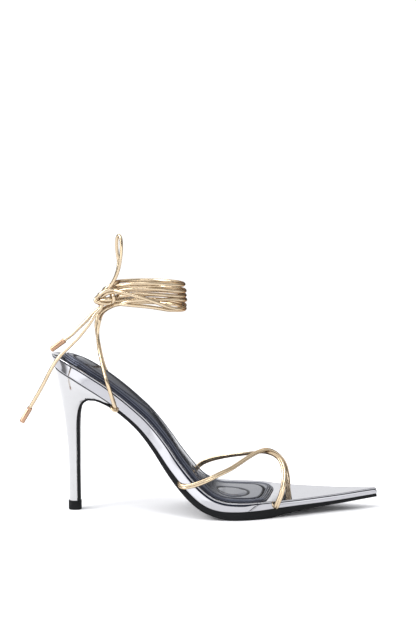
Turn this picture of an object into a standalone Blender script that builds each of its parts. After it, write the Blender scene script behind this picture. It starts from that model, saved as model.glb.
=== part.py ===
"""Ankle-tie stiletto sandal, one right shoe, made piece by piece.

Sizes are in millimetres and become metres when a mesh is made. +X points to the toe,
+Y to the wearer's midline (the medial side), +Z up. The heel tip and the ball of the
forefoot both stand on z = 0. The shoe is built round one long curve, the underside of
the insole board, which is read by arc length from the back of the heel to the toe.
"""

import bmesh
import bpy
import numpy as np

MM = 0.001
GAP = 0.3
LENGTH = 261.0
HEEL_END = -1.2
HEEL_START = (-111.7, 101.3)
CENTRE_SHIFT = (0.15, 0.8)

# arc length, downward pitch of the board's underside in degrees
PITCH_TABLE = (
    (-1.2, 18),
    (18, 31),
    (40, 35),
    (60, 41),
    (80, 52),
    (95, 56),
    (108, 52),
    (120, 48),
    (132, 39.5),
    (145, 18),
    (158, 1),
    (175, -1.5),
    (215, -1.5),
    (240, -4),
    (261, -6),
)

# arc length, lateral edge, medial edge of the board
OUTLINE_TABLE = (
    (-1.2, 0, 0),
    (4, -14.2, 14.2),
    (11.5, -19.8, 19.8),
    (24, -22.6, 22.6),
    (45, -22.2, 21.2),
    (70, -22.0, 19.3),
    (90, -24.2, 18.8),
    (110, -28.6, 20.4),
    (130, -33.2, 25.4),
    (147, -36.4, 32.4),
    (161, -37.1, 36.3),
    (176, -33.6, 34.8),
    (190, -27.0, 29.6),
    (212, -17.2, 21.6),
    (234, -7.9, 13.4),
    (250, -1.4, 8.0),
    (257, 0.8, 5.6),
    (261, 3.0, 3.0),
)

# arc length, outsole thickness, board thickness
LAYER_TABLE = (
    (0, 2.1, 8.2),
    (30, 2.1, 8.3),
    (48, 2.0, 7.7),
    (62, 2.1, 7.3),
    (78, 2.4, 7.4),
    (95, 2.7, 7.9),
    (118, 3.6, 8.0),
    (134, 4.0, 8.0),
    (147, 4.5, 7.4),
    (158, 5.6, 6.6),
    (172, 6.2, 6.0),
    (183, 6.3, 5.7),
    (193, 5.0, 5.0),
    (208, 3.4, 4.6),
    (224, 2.5, 4.7),
    (261, 2.0, 4.5),
)

# reach along the board, rise of the underside and drop of the top as an end closes
HEEL_DOME = (4.5, 1.2, 3.0)
TOE_DOME = (2.6, 0.7, 1.5)
HEEL_LEAN = 0.6
LEAN_REACH = 17.0

OUTSOLE_INSET = 0.8
BREAST_ARC = 47.0

# the flap's outer face down the heel breast: x, z, half width, thickness
FLAP_TABLE = (
    (-76.6, 77.5, 19.6, 1.7),
    (-80.3, 79.0, 17.8, 1.5),
    (-83.9, 79.9, 15.8, 1.4),
    (-87.2, 79.9, 13.8, 1.4),
    (-89.6, 78.8, 12.2, 1.5),
    (-91.5, 76.7, 10.9, 1.7),
    (-92.9, 73.0, 9.6, 1.9),
    (-93.9, 67.0, 8.2, 2.0),
    (-94.3, 59.0, 6.8, 2.1),
    (-94.4, 45.0, 5.5, 2.1),
    (-94.4, 28.0, 4.7, 2.1),
    (-94.3, 6.6, 4.4, 2.1),
)

# heel sections from the seat to the tip: back x, back z, breast x, breast z, half width, seat share
HEEL_TABLE = (
    (-111.5, 100.9, -73.0, 78.7, 22.0, 1.0),
    (-110.8, 96.8, -76.3, 79.6, 21.4, 0.65),
    (-110.0, 92.3, -80.0, 81.0, 19.9, 0.35),
    (-109.2, 87.8, -84.0, 81.8, 17.6, 0.15),
    (-108.4, 83.4, -87.8, 81.7, 15.2, 0.0),
    (-107.4, 79.0, -91.0, 80.1, 13.0, 0.0),
    (-106.6, 74.0, -93.5, 77.1, 11.2, 0.0),
    (-105.7, 69.0, -95.2, 72.3, 9.6, 0.0),
    (-104.9, 63.5, -96.3, 65.5, 8.3, 0.0),
    (-104.1, 56.0, -96.8, 57.0, 7.1, 0.0),
    (-103.0, 44.0, -96.9, 44.3, 5.9, 0.0),
    (-102.4, 28.0, -96.8, 28.0, 5.0, 0.0),
    (-102.3, 6.6, -96.7, 6.6, 4.6, 0.0),
)
SEAT_ARC = 43.6

LIFT_BACK = -102.9
LIFT_FRONT = -93.7
LIFT_HALF_WIDTH = 4.7
LIFT_HEIGHT = 6.3

# sock: arc length, lateral edge, medial edge, thickness at the edge, crown
SOCK_TABLE = (
    (4.6, 0, 0, 1.4, 1.0),
    (7.5, -8.6, 8.6, 2.0, 2.2),
    (13, -14.2, 14.2, 2.6, 3.0),
    (24, -18.2, 18.2, 2.8, 2.8),
    (45, -18.6, 17.4, 3.0, 2.0),
    (70, -18.2, 15.4, 2.9, 1.2),
    (90, -20.4, 14.6, 2.4, 1.0),
    (110, -24.8, 14.4, 2.1, 0.9),
    (130, -29.4, 16.8, 1.4, 0.6),
    (147, -32.4, 22.6, 1.1, 0.5),
    (161, -33.2, 26.0, 1.0, 0.5),
    (172, -32.6, 26.2, 1.0, 0.5),
    (178, -30.2, 25.2, 1.0, 0.5),
    (182, -26.6, 22.6, 1.0, 0.5),
    (185, -15.5, 18.0, 1.0, 0.4),
    (187.2, -1.0, 14.4, 0.9, 0.4),
    (188.4, 8.5, 8.5, 0.9, 0.3),
)

STRAP_RADIUS = 1.65
LACE_RADIUS = 1.4

# strap over the toes, from the lateral arch to the medial toe: x, y, z
UPPER_STRAP = (
    (-26.2, -24.0, 27.0),
    (-25.8, -28.5, 26.4),
    (-24.4, -32.0, 25.2),
    (-20.8, -34.6, 25.0),
    (-15.0, -36.0, 26.3),
    (-7.0, -35.4, 28.6),
    (2.0, -31.6, 31.8),
    (13.0, -24.6, 37.0),
    (25.0, -14.2, 42.8),
    (35.5, -2.6, 44.4),
    (42.2, 7.0, 40.2),
    (47.4, 16.0, 32.8),
    (50.6, 23.2, 22.4),
    (52.2, 27.0, 12.4),
    (52.4, 26.6, 8.6),
    (52.2, 23.6, 7.6),
    (51.8, 19.0, 7.4),
)

# strap under it, from the medial arch to the lateral toe
LOWER_STRAP = (
    (-19.0, 16.5, 20.4),
    (-19.0, 21.0, 20.4),
    (-18.0, 25.2, 20.8),
    (-15.6, 27.6, 23.6),
    (-11.6, 26.6, 27.8),
    (-5.0, 24.6, 29.6),
    (2.0, 21.4, 31.0),
    (16.0, 13.4, 35.6),
    (24.5, 6.0, 38.6),
    (33.5, -4.4, 41.5),
    (41.0, -13.4, 39.2),
    (46.2, -21.6, 31.8),
    (47.2, -27.0, 22.4),
    (44.8, -30.2, 14.4),
    (42.8, -29.6, 8.6),
    (42.4, -26.0, 7.4),
    (42.4, -21.5, 7.2),
)

ANKLE_X = -50.9
ANKLE_RADIUS_X = 29.5
ANKLE_RADIUS_Y = 28.0

# risers from the arch to the back of the ankle: x, y, z
LATERAL_RISER = (
    (-67.4, -14.5, 76.2),
    (-68.0, -19.0, 75.8),
    (-68.9, -23.6, 75.8),
    (-70.6, -24.8, 81.6),
    (-72.6, -24.7, 88.4),
    (-74.8, -23.8, 95.2),
    (-77.0, -18.8, 101.8),
    (-79.4, -12.0, 110.0),
    (-80.9, -7.0, 118.5),
    (-81.7, -3.8, 127.0),
    (-81.9, -2.0, 133.0),
)
MEDIAL_RISER = (
    (-67.6, 13.5, 76.6),
    (-68.2, 18.0, 76.4),
    (-69.2, 22.4, 77.2),
    (-72.0, 23.8, 82.6),
    (-75.2, 23.8, 89.6),
    (-77.9, 22.2, 95.8),
    (-79.7, 16.2, 103.9),
    (-81.0, 8.6, 113.4),
    (-81.9, 3.8, 124.0),
    (-81.9, 2.0, 132.0),
)

# turns round the ankle: angle from the back, going round by the lateral side, height, offset outward
LATERAL_TURNS = (
    (10, 139.8, 0),
    (37, 144.2, 0),
    (60, 149.0, 0),
    (90, 151.3, 0),
    (125, 150.8, 0),
    (180, 147.4, 0),
    (270, 146.3, 0),
    (335, 147.0, 0),
    (360, 147.9, 0),
    (405, 152.4, 0),
    (450, 155.4, 0),
    (540, 150.5, 0),
    (630, 149.7, 0),
    (695, 150.3, 0),
    (720, 151.1, 0),
    (765, 155.8, 0),
    (810, 159.2, 0),
    (900, 153.7, 0),
    (990, 153.1, 0),
    (1045, 153.4, -1.6),
    (1080, 154.3, -3.4),
    (1125, 159.0, -0.6),
    (1170, 162.7, 0),
    (1260, 158.2, 0),
    (1350, 157.2, 0),
    (1395, 158.0, -6),
    (1440, 159.6, -13),
    (1468, 160.0, -10),
)
MEDIAL_TURNS = (
    (-10, 139.2, 0),
    (-90, 139.6, 0),
    (-180, 141.4, 0),
    (-229, 143.4, 0),
    (-255, 145.9, 0),
    (-270, 146.5, 0),
    (-300, 147.5, 0),
    (-330, 146.6, 0),
    (-360, 144.6, 0),
    (-405, 143.3, 0),
    (-450, 143.0, 0),
    (-540, 144.4, 0),
    (-575, 145.0, 1.6),
    (-591, 147.0, 3.2),
    (-606, 149.8, 3.2),
    (-619, 152.6, 3.2),
    (-630, 154.4, 3.2),
    (-645, 156.3, 3.2),
    (-658, 157.4, 3.2),
    (-664, 157.7, 3.3),
)

KNOT_ANGLE = 42.0
KNOT_OUT = 5.2
KNOT_HEIGHT = 150.0
KNOT_HALF = (3.3, 6.2, 7.2)

BOW_LOOP = (
    (-76.0, -24.4, 156.9),
    (-74.0, -25.6, 159.6),
    (-71.0, -26.6, 162.4),
    (-68.7, -27.0, 165.2),
    (-67.1, -27.4, 168.2),
    (-65.9, -27.8, 171.9),
    (-64.9, -27.9, 175.9),
    (-64.2, -27.6, 180.2),
    (-63.8, -27.0, 184.9),
    (-63.8, -26.0, 189.0),
    (-64.4, -24.8, 192.6),
    (-65.8, -23.0, 194.8),
    (-67.2, -21.2, 192.4),
    (-67.5, -20.0, 188.3),
    (-67.2, -19.4, 183.9),
    (-67.1, -19.2, 179.6),
    (-67.3, -19.4, 176.0),
    (-68.3, -20.2, 170.6),
    (-70.0, -21.4, 166.2),
    (-73.0, -22.6, 162.4),
    (-77.0, -22.0, 158.9),
    (-78.0, -20.8, 156.9),
)
UPPER_END = (
    (-80.6, -21.4, 143.7),
    (-84.2, -21.6, 140.8),
    (-87.8, -21.4, 136.8),
    (-93.1, -20.8, 131.5),
    (-98.0, -20.2, 126.9),
    (-102.4, -19.8, 123.3),
)
LOWER_END = (
    (-78.6, -23.8, 143.7),
    (-81.4, -25.6, 141.8),
    (-84.6, -27.0, 137.0),
    (-88.8, -27.8, 131.2),
    (-94.0, -28.4, 125.0),
    (-99.2, -28.6, 119.8),
    (-105.2, -28.8, 113.9),
    (-109.1, -28.8, 108.9),
    (-113.7, -28.6, 101.0),
    (-117.4, -28.4, 93.3),
    (-122.1, -28.2, 84.4),
    (-126.3, -28.0, 77.2),
)
AGLET_RADIUS = 1.75
AGLET_LENGTH = 10.8

GOLD = (0.75, 0.53, 0.30)
PEACH_GOLD = (0.82, 0.56, 0.38)
SILVER = (0.82, 0.82, 0.84)
BLACK = (0.015, 0.016, 0.019)


def smooth(table, column, at):
    """Reads a column of a table at the given first-column values, by a monotone cubic."""
    rows = np.array(table, float)
    xs = rows[:, 0]
    ys = rows[:, column]
    if xs[0] > xs[-1]:
        xs = xs[::-1]
        ys = ys[::-1]
    at = np.clip(np.asarray(at, float), xs[0], xs[-1])
    step = np.diff(xs)
    rise = np.diff(ys) / step
    slope = np.empty_like(ys)
    slope[0] = rise[0]
    slope[-1] = rise[-1]
    same = rise[:-1] * rise[1:] > 0
    total = np.where(same, rise[:-1] + rise[1:], 1.0)
    slope[1:-1] = np.where(same, 2 * rise[:-1] * rise[1:] / total, 0.0)
    i = np.clip(np.searchsorted(xs, at, side="right") - 1, 0, len(xs) - 2)
    t = (at - xs[i]) / step[i]
    low = (1 + 2 * t) * (1 - t) ** 2 * ys[i] + t * (1 - t) ** 2 * step[i] * slope[i]
    high = t * t * (3 - 2 * t) * ys[i + 1] + t * t * (t - 1) * step[i] * slope[i + 1]
    return low + high


ARC = np.linspace(HEEL_END, LENGTH, 1049)
PITCH = np.radians(smooth(PITCH_TABLE, 1, ARC))


def summed(values):
    """Running integral of values along ARC."""
    steps = (values[1:] + values[:-1]) / 2 * np.diff(ARC)
    return np.concatenate([[0.0], np.cumsum(steps)])


CURVE_X = HEEL_START[0] + summed(np.cos(PITCH))
CURVE_Z = HEEL_START[1] - summed(np.sin(PITCH))


def on_curve(s, n):
    """Point n above the board's underside at arc length s, as x and z."""
    pitch = np.interp(s, ARC, PITCH)
    x = np.interp(s, ARC, CURVE_X) + n * np.sin(pitch)
    z = np.interp(s, ARC, CURVE_Z) + n * np.cos(pitch)
    return x, z


def edge(table, column, s):
    """Edge of an outline, read so that both ends close in a round curve."""
    rows = np.array(table, float)
    first = rows[0, 0]
    span = rows[-1, 0] - first
    turned = [(np.arccos(1 - 2 * (row[0] - first) / span), row[column]) for row in rows]
    share = np.clip((s - first) / span, 0.0, 1.0)
    return float(smooth(turned, 1, np.arccos(1 - 2 * share)))


def stations(first, last, count):
    """Arc lengths that crowd together toward both ends."""
    turn = np.linspace(0.0, np.pi, count)
    return first + (last - first) * (1 - np.cos(turn)) / 2


def corner(y, n, radius, start, steps=3):
    """Points round a section's corner."""
    angles = np.radians(np.linspace(start, start + 90, steps))
    return [(y + radius * np.cos(a), n + radius * np.sin(a)) for a in angles]


def slab_section(lat, med, low, high, radius_low, radius_high, crown, across):
    """Section of a sheet from its lateral to its medial edge, as y and height."""
    width = med - lat
    depth = high - low
    low_r = min(radius_low, 0.42 * width, 0.42 * depth)
    high_r = min(radius_high, 0.42 * width, 0.42 * depth)
    shares = np.linspace(0, 1, across + 2)[1:-1]
    flat = [(lat + low_r + (width - 2 * low_r) * t, low) for t in shares]
    rise = crown * min(1.0, width / 20.0)
    top = []
    for t in shares:
        y = med - high_r - (width - 2 * high_r) * t
        top.append((y, high + rise * (1 - (2 * t - 1) ** 2)))
    ring = flat + corner(med - low_r, low + low_r, low_r, -90)
    ring += corner(med - high_r, high - high_r, high_r, 0) + top
    ring += corner(lat + high_r, high - high_r, high_r, 90)
    return ring + corner(lat + low_r, low + low_r, low_r, 180)


def placed(section, s):
    """Lays a section across the shoe at arc length s, leaning back toward the heel's end."""
    lean = HEEL_LEAN * max(0.0, 1 - (s - HEEL_END) / LEAN_REACH) ** 2
    ring = []
    for y, n in section:
        x, z = on_curve(s, n)
        ring.append((float(x) - lean * n, y, float(z)))
    return ring


def closing(dome, distance):
    """Rise of the underside and drop of the top at a distance from a rounded end."""
    reach, rise, drop = dome
    share = max(0.0, 1 - distance / reach)
    bend = 1 - np.sqrt(1 - share * share)
    return rise * bend, drop * bend


def material(name, colour, metallic, roughness):
    found = bpy.data.materials.new(name)
    found.use_nodes = True
    shader = found.node_tree.nodes["Principled BSDF"]
    shader.inputs["Base Color"].default_value = (*colour, 1.0)
    shader.inputs["Metallic"].default_value = metallic
    shader.inputs["Roughness"].default_value = roughness
    return found


def shifted(points):
    """Millimetres in the building frame to metres in the shoe's frame."""
    moved = np.array(points, float) + np.array([*CENTRE_SHIFT, 0.0])
    return moved * MM


def skin(name, rings):
    """Closed mesh through a row of rings with equal counts."""
    build = bmesh.new()
    rows = [[build.verts.new(p) for p in shifted(ring)] for ring in rings]
    count = len(rows[0])
    for a, b in zip(rows, rows[1:]):
        for i in range(count):
            j = (i + 1) % count
            build.faces.new((a[i], a[j], b[j], b[i]))
    build.faces.new(rows[0])
    build.faces.new(rows[-1])
    return finished(name, build)


def finished(name, build):
    bmesh.ops.triangulate(build, faces=build.faces[:])
    bmesh.ops.recalc_face_normals(build, faces=build.faces[:])
    mesh = bpy.data.meshes.new(name)
    build.to_mesh(mesh)
    build.free()
    return bpy.data.objects.new(name, mesh)


def smooth_path(route, spacing):
    """Evenly spaced points on a smooth curve through the route's own points."""
    points = np.array(route, float)
    knots = np.concatenate([[0], np.cumsum(np.linalg.norm(np.diff(points, axis=0), axis=1) ** 0.75)])
    slope = np.gradient(points, knots, axis=0)
    fine = []
    for i in range(len(points) - 1):
        span = knots[i + 1] - knots[i]
        t = np.linspace(0, 1, 24, endpoint=i == len(points) - 2)[:, None]
        low = (1 + 2 * t) * (1 - t) ** 2 * points[i] + t * (1 - t) ** 2 * span * slope[i]
        high = t * t * (3 - 2 * t) * points[i + 1] + t * t * (t - 1) * span * slope[i + 1]
        fine.append(low + high)
    fine = np.concatenate(fine)
    run = np.concatenate([[0], np.cumsum(np.linalg.norm(np.diff(fine, axis=0), axis=1))])
    marks = np.linspace(0, run[-1], max(2, int(round(run[-1] / spacing))) + 1)
    return np.stack([np.interp(marks, run, fine[:, k]) for k in range(3)], axis=1)


def tube(name, points, radius):
    """Round cord along the points, as a bevelled curve with closed ends."""
    data = bpy.data.curves.new(name, "CURVE")
    data.dimensions = "3D"
    data.bevel_depth = radius * MM
    data.bevel_resolution = 2
    data.use_fill_caps = True
    data.twist_mode = "MINIMUM"
    spline = data.splines.new("POLY")
    spline.points.add(len(points) - 1)
    for target, p in zip(spline.points, shifted(points)):
        target.co = (*p, 1.0)
    return bpy.data.objects.new(name, data)


def meshed(thing):
    """Mesh object made from a curve object."""
    scene = bpy.context.scene.collection
    scene.objects.link(thing)
    graph = bpy.context.evaluated_depsgraph_get()
    mesh = bpy.data.meshes.new_from_object(thing.evaluated_get(graph))
    scene.objects.unlink(thing)
    build = bmesh.new()
    build.from_mesh(mesh)
    bmesh.ops.remove_doubles(build, verts=build.verts[:], dist=1e-6)
    name = thing.name
    bpy.data.objects.remove(thing)
    return finished(name, build)


def combined(target, others, operation):
    """Applies one exact Boolean after another to the target's mesh."""
    scene = bpy.context.scene.collection
    scene.objects.link(target)
    for other in others:
        scene.objects.link(other)
        change = target.modifiers.new(other.name, "BOOLEAN")
        change.operation = operation
        change.solver = "EXACT"
        change.object = other
    graph = bpy.context.evaluated_depsgraph_get()
    mesh = bpy.data.meshes.new_from_object(target.evaluated_get(graph))
    target.modifiers.clear()
    build = bmesh.new()
    build.from_mesh(mesh)
    bmesh.ops.remove_doubles(build, verts=build.verts[:], dist=2e-6)
    bmesh.ops.dissolve_degenerate(build, edges=build.edges[:], dist=2e-6)
    for thing in [target, *others]:
        scene.objects.unlink(thing)
    name = target.name
    bpy.data.objects.remove(target)
    return finished(name, build)


def make_board():
    rings = []
    for s in stations(HEEL_END + 0.2, LENGTH - 0.2, 54):
        lat = edge(OUTLINE_TABLE, 1, s)
        med = edge(OUTLINE_TABLE, 2, s)
        heel = closing(HEEL_DOME, s - HEEL_END)
        toe = closing(TOE_DOME, LENGTH - s)
        top = float(smooth(LAYER_TABLE, 2, s)) - heel[1] - toe[1]
        rings.append(placed(slab_section(lat, med, heel[0] + toe[0], top, 0.5, 1.6, 0.0, 4), s))
    return skin("insole_board", rings)


def make_sock():
    rings = []
    for s in stations(SOCK_TABLE[0][0] + 0.2, SOCK_TABLE[-1][0] - 0.12, 44):
        lat = edge(SOCK_TABLE, 1, s)
        med = edge(SOCK_TABLE, 2, s)
        thick = float(smooth(SOCK_TABLE, 3, s))
        crown = float(smooth(SOCK_TABLE, 4, s))
        low = float(smooth(LAYER_TABLE, 2, s)) + GAP
        rings.append(placed(slab_section(lat, med, low, low + thick, 0.2, 0.8, crown, 5), s))
    return skin("sock", rings)


def breast_rows(count):
    """Outer face of the flap, with the direction that points into the heel."""
    rows = np.array(FLAP_TABLE, float)
    start = on_curve(BREAST_ARC, -GAP - float(smooth(LAYER_TABLE, 1, BREAST_ARC)))
    run = np.concatenate([[0], np.cumsum(np.linalg.norm(np.diff(rows[:, :2], axis=0), axis=1))])
    lead = float(np.hypot(rows[0, 0] - start[0], rows[0, 1] - start[1]))
    keyed = np.column_stack([run + lead, rows])
    fine = np.concatenate([np.linspace(lead, lead + 26, 11), np.linspace(lead + 30, lead + run[-1], count)])
    cols = [smooth(keyed, k, fine) for k in range(1, 5)]
    path = np.stack(cols[:2], axis=1)
    along = np.gradient(path, fine, axis=0)
    along /= np.linalg.norm(along, axis=1)[:, None]
    inward = np.stack([along[:, 1], -along[:, 0]], axis=1)
    inward[-1] = (-1.0, 0.0)
    return path, inward, cols[2], cols[3]


def make_outsole():
    rings = []
    for s in stations(0.5, LENGTH - 0.7, 56)[::-1]:
        if s < BREAST_ARC:
            break
        lat = edge(OUTLINE_TABLE, 1, s) + OUTSOLE_INSET
        med = edge(OUTLINE_TABLE, 2, s) - OUTSOLE_INSET
        if med - lat < 0.6:
            lat, med = (lat + med) / 2 - 0.3, (lat + med) / 2 + 0.3
        thick = float(smooth(LAYER_TABLE, 1, s))
        section = slab_section(lat, med, -GAP - thick, -GAP, 0.6, 0.4, 0.0, 2)
        rings.append([(x, y, max(z, 0.0)) for x, y, z in placed(section, s)])
    path, inward, half, thick = breast_rows(6)
    for p, n, h, t in zip(path, inward, half, thick):
        section = slab_section(-h, h, 0.0, t, 0.5, 0.3, 0.0, 2)
        rings.append([(float(p[0] + k * n[0]), y, float(p[1] + k * n[1])) for y, k in section])
    return skin("outsole", rings)


def heel_outline(share, half, seat):
    """Half widths on both sides at a share of the way from the heel's back to its breast."""
    back = min(share / 0.62, 1.0)
    plain = half * np.sqrt(max(0.0, 1 - (1 - back) ** 2)) * (1 - 0.10 * max(0.0, (share - 0.8) / 0.2) ** 2)
    s = HEEL_END + (SEAT_ARC - HEEL_END) * share
    lat = seat * (-edge(OUTLINE_TABLE, 1, s) - 0.5) + (1 - seat) * plain
    med = seat * (edge(OUTLINE_TABLE, 2, s) - 0.5) + (1 - seat) * plain
    return max(lat, 0.25), max(med, 0.25)


def make_heel():
    shares = 1 - np.cos(np.linspace(0.0, np.pi / 2, 10))
    shares[0] = 0.004
    keys = np.column_stack([np.arange(len(HEEL_TABLE)), np.array(HEEL_TABLE, float)])
    build = bmesh.new()
    rows = []
    for k in np.linspace(0, len(HEEL_TABLE) - 1, 25):
        back_x, back_z, front_x, front_z, half, seat = (float(smooth(keys, c, k)) for c in range(1, 7))
        lateral = []
        medial = []
        for share in shares:
            x = back_x + (front_x - back_x) * share
            z = back_z + (front_z - back_z) * share
            first = HEEL_END + 0.3
            seat_x, seat_z = on_curve(first + (SEAT_ARC - first) * share, -GAP)
            ends = on_curve(first, -GAP), on_curve(SEAT_ARC, -GAP)
            x += seat * (seat_x - ends[0][0] - (ends[1][0] - ends[0][0]) * share)
            z += seat * (seat_z - ends[0][1] - (ends[1][1] - ends[0][1]) * share)
            lat, med = heel_outline(share, half, seat)
            lateral.append((x, -lat, z))
            medial.append((x, med, z))
        rows.append([build.verts.new(p) for p in shifted(lateral + medial[::-1])])
    count = len(rows[0])
    for a, b in zip(rows, rows[1:]):
        for i in range(count):
            j = (i + 1) % count
            build.faces.new((a[i], a[j], b[j], b[i]))
    for row in (rows[0], rows[-1]):
        for i in range(count // 2 - 1):
            build.faces.new((row[i], row[i + 1], row[count - 2 - i], row[count - 1 - i]))
    return finished("heel", build)


def make_lift():
    middle = (LIFT_BACK + LIFT_FRONT) / 2
    half = (LIFT_FRONT - LIFT_BACK) / 2
    ring = []
    for turn in np.linspace(0, 2 * np.pi, 28, endpoint=False):
        x = np.sign(np.cos(turn)) * abs(np.cos(turn)) ** 0.75
        y = np.sign(np.sin(turn)) * abs(np.sin(turn)) ** 0.75
        ring.append((middle + half * x, LIFT_HALF_WIDTH * y))
    return skin("top_lift", [[(x, y, z) for x, y in ring] for z in (0.0, LIFT_HEIGHT)])


def round_ankle(angle, height, out):
    turn = np.radians(angle)
    x = ANKLE_X - (ANKLE_RADIUS_X + out) * np.cos(turn)
    y = -(ANKLE_RADIUS_Y + out) * np.sin(turn)
    return np.stack([x, y, height], axis=-1)


def lace_path(riser, turns):
    """Riser and turns of one half of the lace as one smooth row of points."""
    first = turns[0][0]
    last = turns[-1][0]
    angles = np.linspace(first, last, int(abs(last - first) / 13) + 1)
    wound = round_ankle(angles, smooth(turns, 1, angles), smooth(turns, 2, angles))
    return smooth_path(np.concatenate([np.array(riser, float), wound]), 6.2)


def make_straps():
    """Both straps as one solid, and the fatter ends that cut their slots."""
    upper = smooth_path(UPPER_STRAP, 3.6)
    lower = smooth_path(LOWER_STRAP, 3.6)
    straps = combined(
        meshed(tube("toe_straps", upper, STRAP_RADIUS)),
        [meshed(tube("lower_strap", lower, STRAP_RADIUS))],
        "UNION",
    )
    slots = []
    for name, path in (("upper_strap", upper), ("lower_strap", lower)):
        slots.append(slot(name + "_start", path[:4], STRAP_RADIUS))
        slots.append(slot(name + "_end", path[::-1][:4], STRAP_RADIUS))
    return straps, slots


def slot(name, path, radius):
    """Cutter for a tucked end: the end's own path, fatter and a little longer."""
    first = path[0] + (path[0] - path[1]) / np.linalg.norm(path[0] - path[1]) * GAP
    return meshed(tube(name + "_slot", np.vstack([first, path[1:]]), radius + GAP))


def make_wraps():
    lateral = lace_path(LATERAL_RISER, LATERAL_TURNS)
    medial = lace_path(MEDIAL_RISER, MEDIAL_TURNS)
    wraps = combined(
        meshed(tube("ankle_wraps", lateral, LACE_RADIUS)),
        [meshed(tube("medial_lace", medial, LACE_RADIUS))],
        "UNION",
    )
    slots = [slot("lateral_riser", lateral[:3], LACE_RADIUS), slot("medial_riser", medial[:3], LACE_RADIUS)]
    return wraps, slots


def make_knot():
    turn = np.radians(KNOT_ANGLE)
    centre = round_ankle(KNOT_ANGLE, KNOT_HEIGHT, KNOT_OUT)
    outward = np.array([-np.cos(turn), -np.sin(turn), 0.0])
    sideways = np.array([np.sin(turn), -np.cos(turn), 0.0])
    rings = []
    for level in np.linspace(-1, 1, 11)[1:-1]:
        size = np.sqrt(1 - abs(level) ** 2.6)
        ring = []
        for around in np.linspace(0, 2 * np.pi, 14, endpoint=False):
            p = centre + outward * KNOT_HALF[0] * size * np.cos(around)
            p = p + sideways * KNOT_HALF[1] * size * np.sin(around)
            ring.append(tuple(p + np.array([0, 0, KNOT_HALF[2] * level])))
        rings.append(ring)
    return skin("lace_knot", rings)


def make_aglet(name, path):
    """Metal tip that follows the last direction of a lace end."""
    way = (path[-1] - path[-2]) / np.linalg.norm(path[-1] - path[-2])
    points = [path[-1] + way * (GAP + AGLET_LENGTH * t) for t in (0.0, 0.5, 1.0)]
    return tube(name, points, AGLET_RADIUS)


def main():
    for thing in list(bpy.data.objects):
        bpy.data.objects.remove(thing)
    parts = bpy.data.collections.new("stiletto_sandal")
    cutters = bpy.data.collections.new("cutters")
    cutters.hide_render = True
    bpy.context.scene.collection.children.link(parts)
    bpy.context.scene.collection.children.link(cutters)

    gold = material("gold_cord", GOLD, 0.6, 0.35)
    peach = material("peach_gold_metal", PEACH_GOLD, 1.0, 0.25)
    silver = material("mirror_silver", SILVER, 1.0, 0.08)
    black_leather = material("black_leather", BLACK, 0.0, 0.45)
    black_rubber = material("black_rubber", BLACK, 0.0, 0.6)

    straps, strap_slots = make_straps()
    wraps, lace_slots = make_wraps()
    slots = strap_slots + lace_slots
    board = combined(make_board(), slots, "DIFFERENCE")
    outsole = combined(make_outsole(), slots, "DIFFERENCE")
    upper_end = smooth_path(UPPER_END, 5.6)
    lower_end = smooth_path(LOWER_END, 6.0)
    made = (
        (outsole, black_rubber),
        (board, silver),
        (make_sock(), black_leather),
        (make_heel(), silver),
        (make_lift(), black_rubber),
        (straps, gold),
        (wraps, gold),
        (make_knot(), gold),
        (tube("lace_bow_loop", smooth_path(BOW_LOOP, 4.5), LACE_RADIUS), gold),
        (tube("lace_end_upper", upper_end, LACE_RADIUS), gold),
        (tube("lace_end_lower", lower_end, LACE_RADIUS), gold),
        (make_aglet("aglet_upper", upper_end), peach),
        (make_aglet("aglet_lower", lower_end), peach),
    )
    for thing, look in made:
        thing.data.materials.clear()
        thing.data.materials.append(look)
        parts.objects.link(thing)
    for thing in slots:
        thing.display_type = "WIRE"
        thing.hide_render = True
        cutters.objects.link(thing)


main()
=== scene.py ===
"""Ankle-tie stiletto sandal, dressed and lit.

Lengths in the tables are millimetres in the building frame of the solids: +X to the toe, +Y to
the medial side, +Z up, with the heel tip and the ball on z = 0. The shoe follows one long curve,
the underside of the insole board, read by arc length s from the back of the heel to the toe, with
y across it and n above it.
"""

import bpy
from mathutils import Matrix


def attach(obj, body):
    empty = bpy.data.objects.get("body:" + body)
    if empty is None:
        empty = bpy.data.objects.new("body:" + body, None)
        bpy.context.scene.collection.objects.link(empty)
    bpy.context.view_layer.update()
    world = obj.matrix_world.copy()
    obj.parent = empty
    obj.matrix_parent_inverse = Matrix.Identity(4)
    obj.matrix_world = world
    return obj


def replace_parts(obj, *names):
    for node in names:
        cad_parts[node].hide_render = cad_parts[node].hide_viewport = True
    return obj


bl_info = {
    "name": "Ankle-tie stiletto sandal",
    "version": (1, 0, 0),
    "blender": (4, 5, 0),
    "location": "3D View > Sidebar > Sandal",
    "description": "Dresses the solids of a stiletto sandal in its own finishes and lights it",
    "category": "Object",
}

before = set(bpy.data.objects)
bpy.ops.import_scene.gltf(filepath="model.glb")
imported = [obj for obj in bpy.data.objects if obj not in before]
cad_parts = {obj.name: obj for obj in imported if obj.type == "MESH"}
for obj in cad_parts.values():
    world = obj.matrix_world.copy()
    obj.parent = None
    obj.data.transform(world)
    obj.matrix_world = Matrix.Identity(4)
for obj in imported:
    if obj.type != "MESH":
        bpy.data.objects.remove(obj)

import math
from types import SimpleNamespace

import bmesh
import bpy
import numpy as np
from bpy.props import FloatProperty, FloatVectorProperty, PointerProperty
from mathutils import Vector

MM = 0.001
BODY = "root"
# corners of a piece closer than this are one, in metres
MERGE_DISTANCE = 2e-7

# arc length at the toe and at the back of the heel, and the x and z of the curve there
LENGTH = 261.0
HEEL_END = -1.2
HEEL_START = (-111.7, 101.3)
# from the building frame to the shoe's own: x, y
CENTRE_SHIFT = (0.15, 0.8)
# space that the solids leave between their layers
GAP = 0.3

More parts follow.
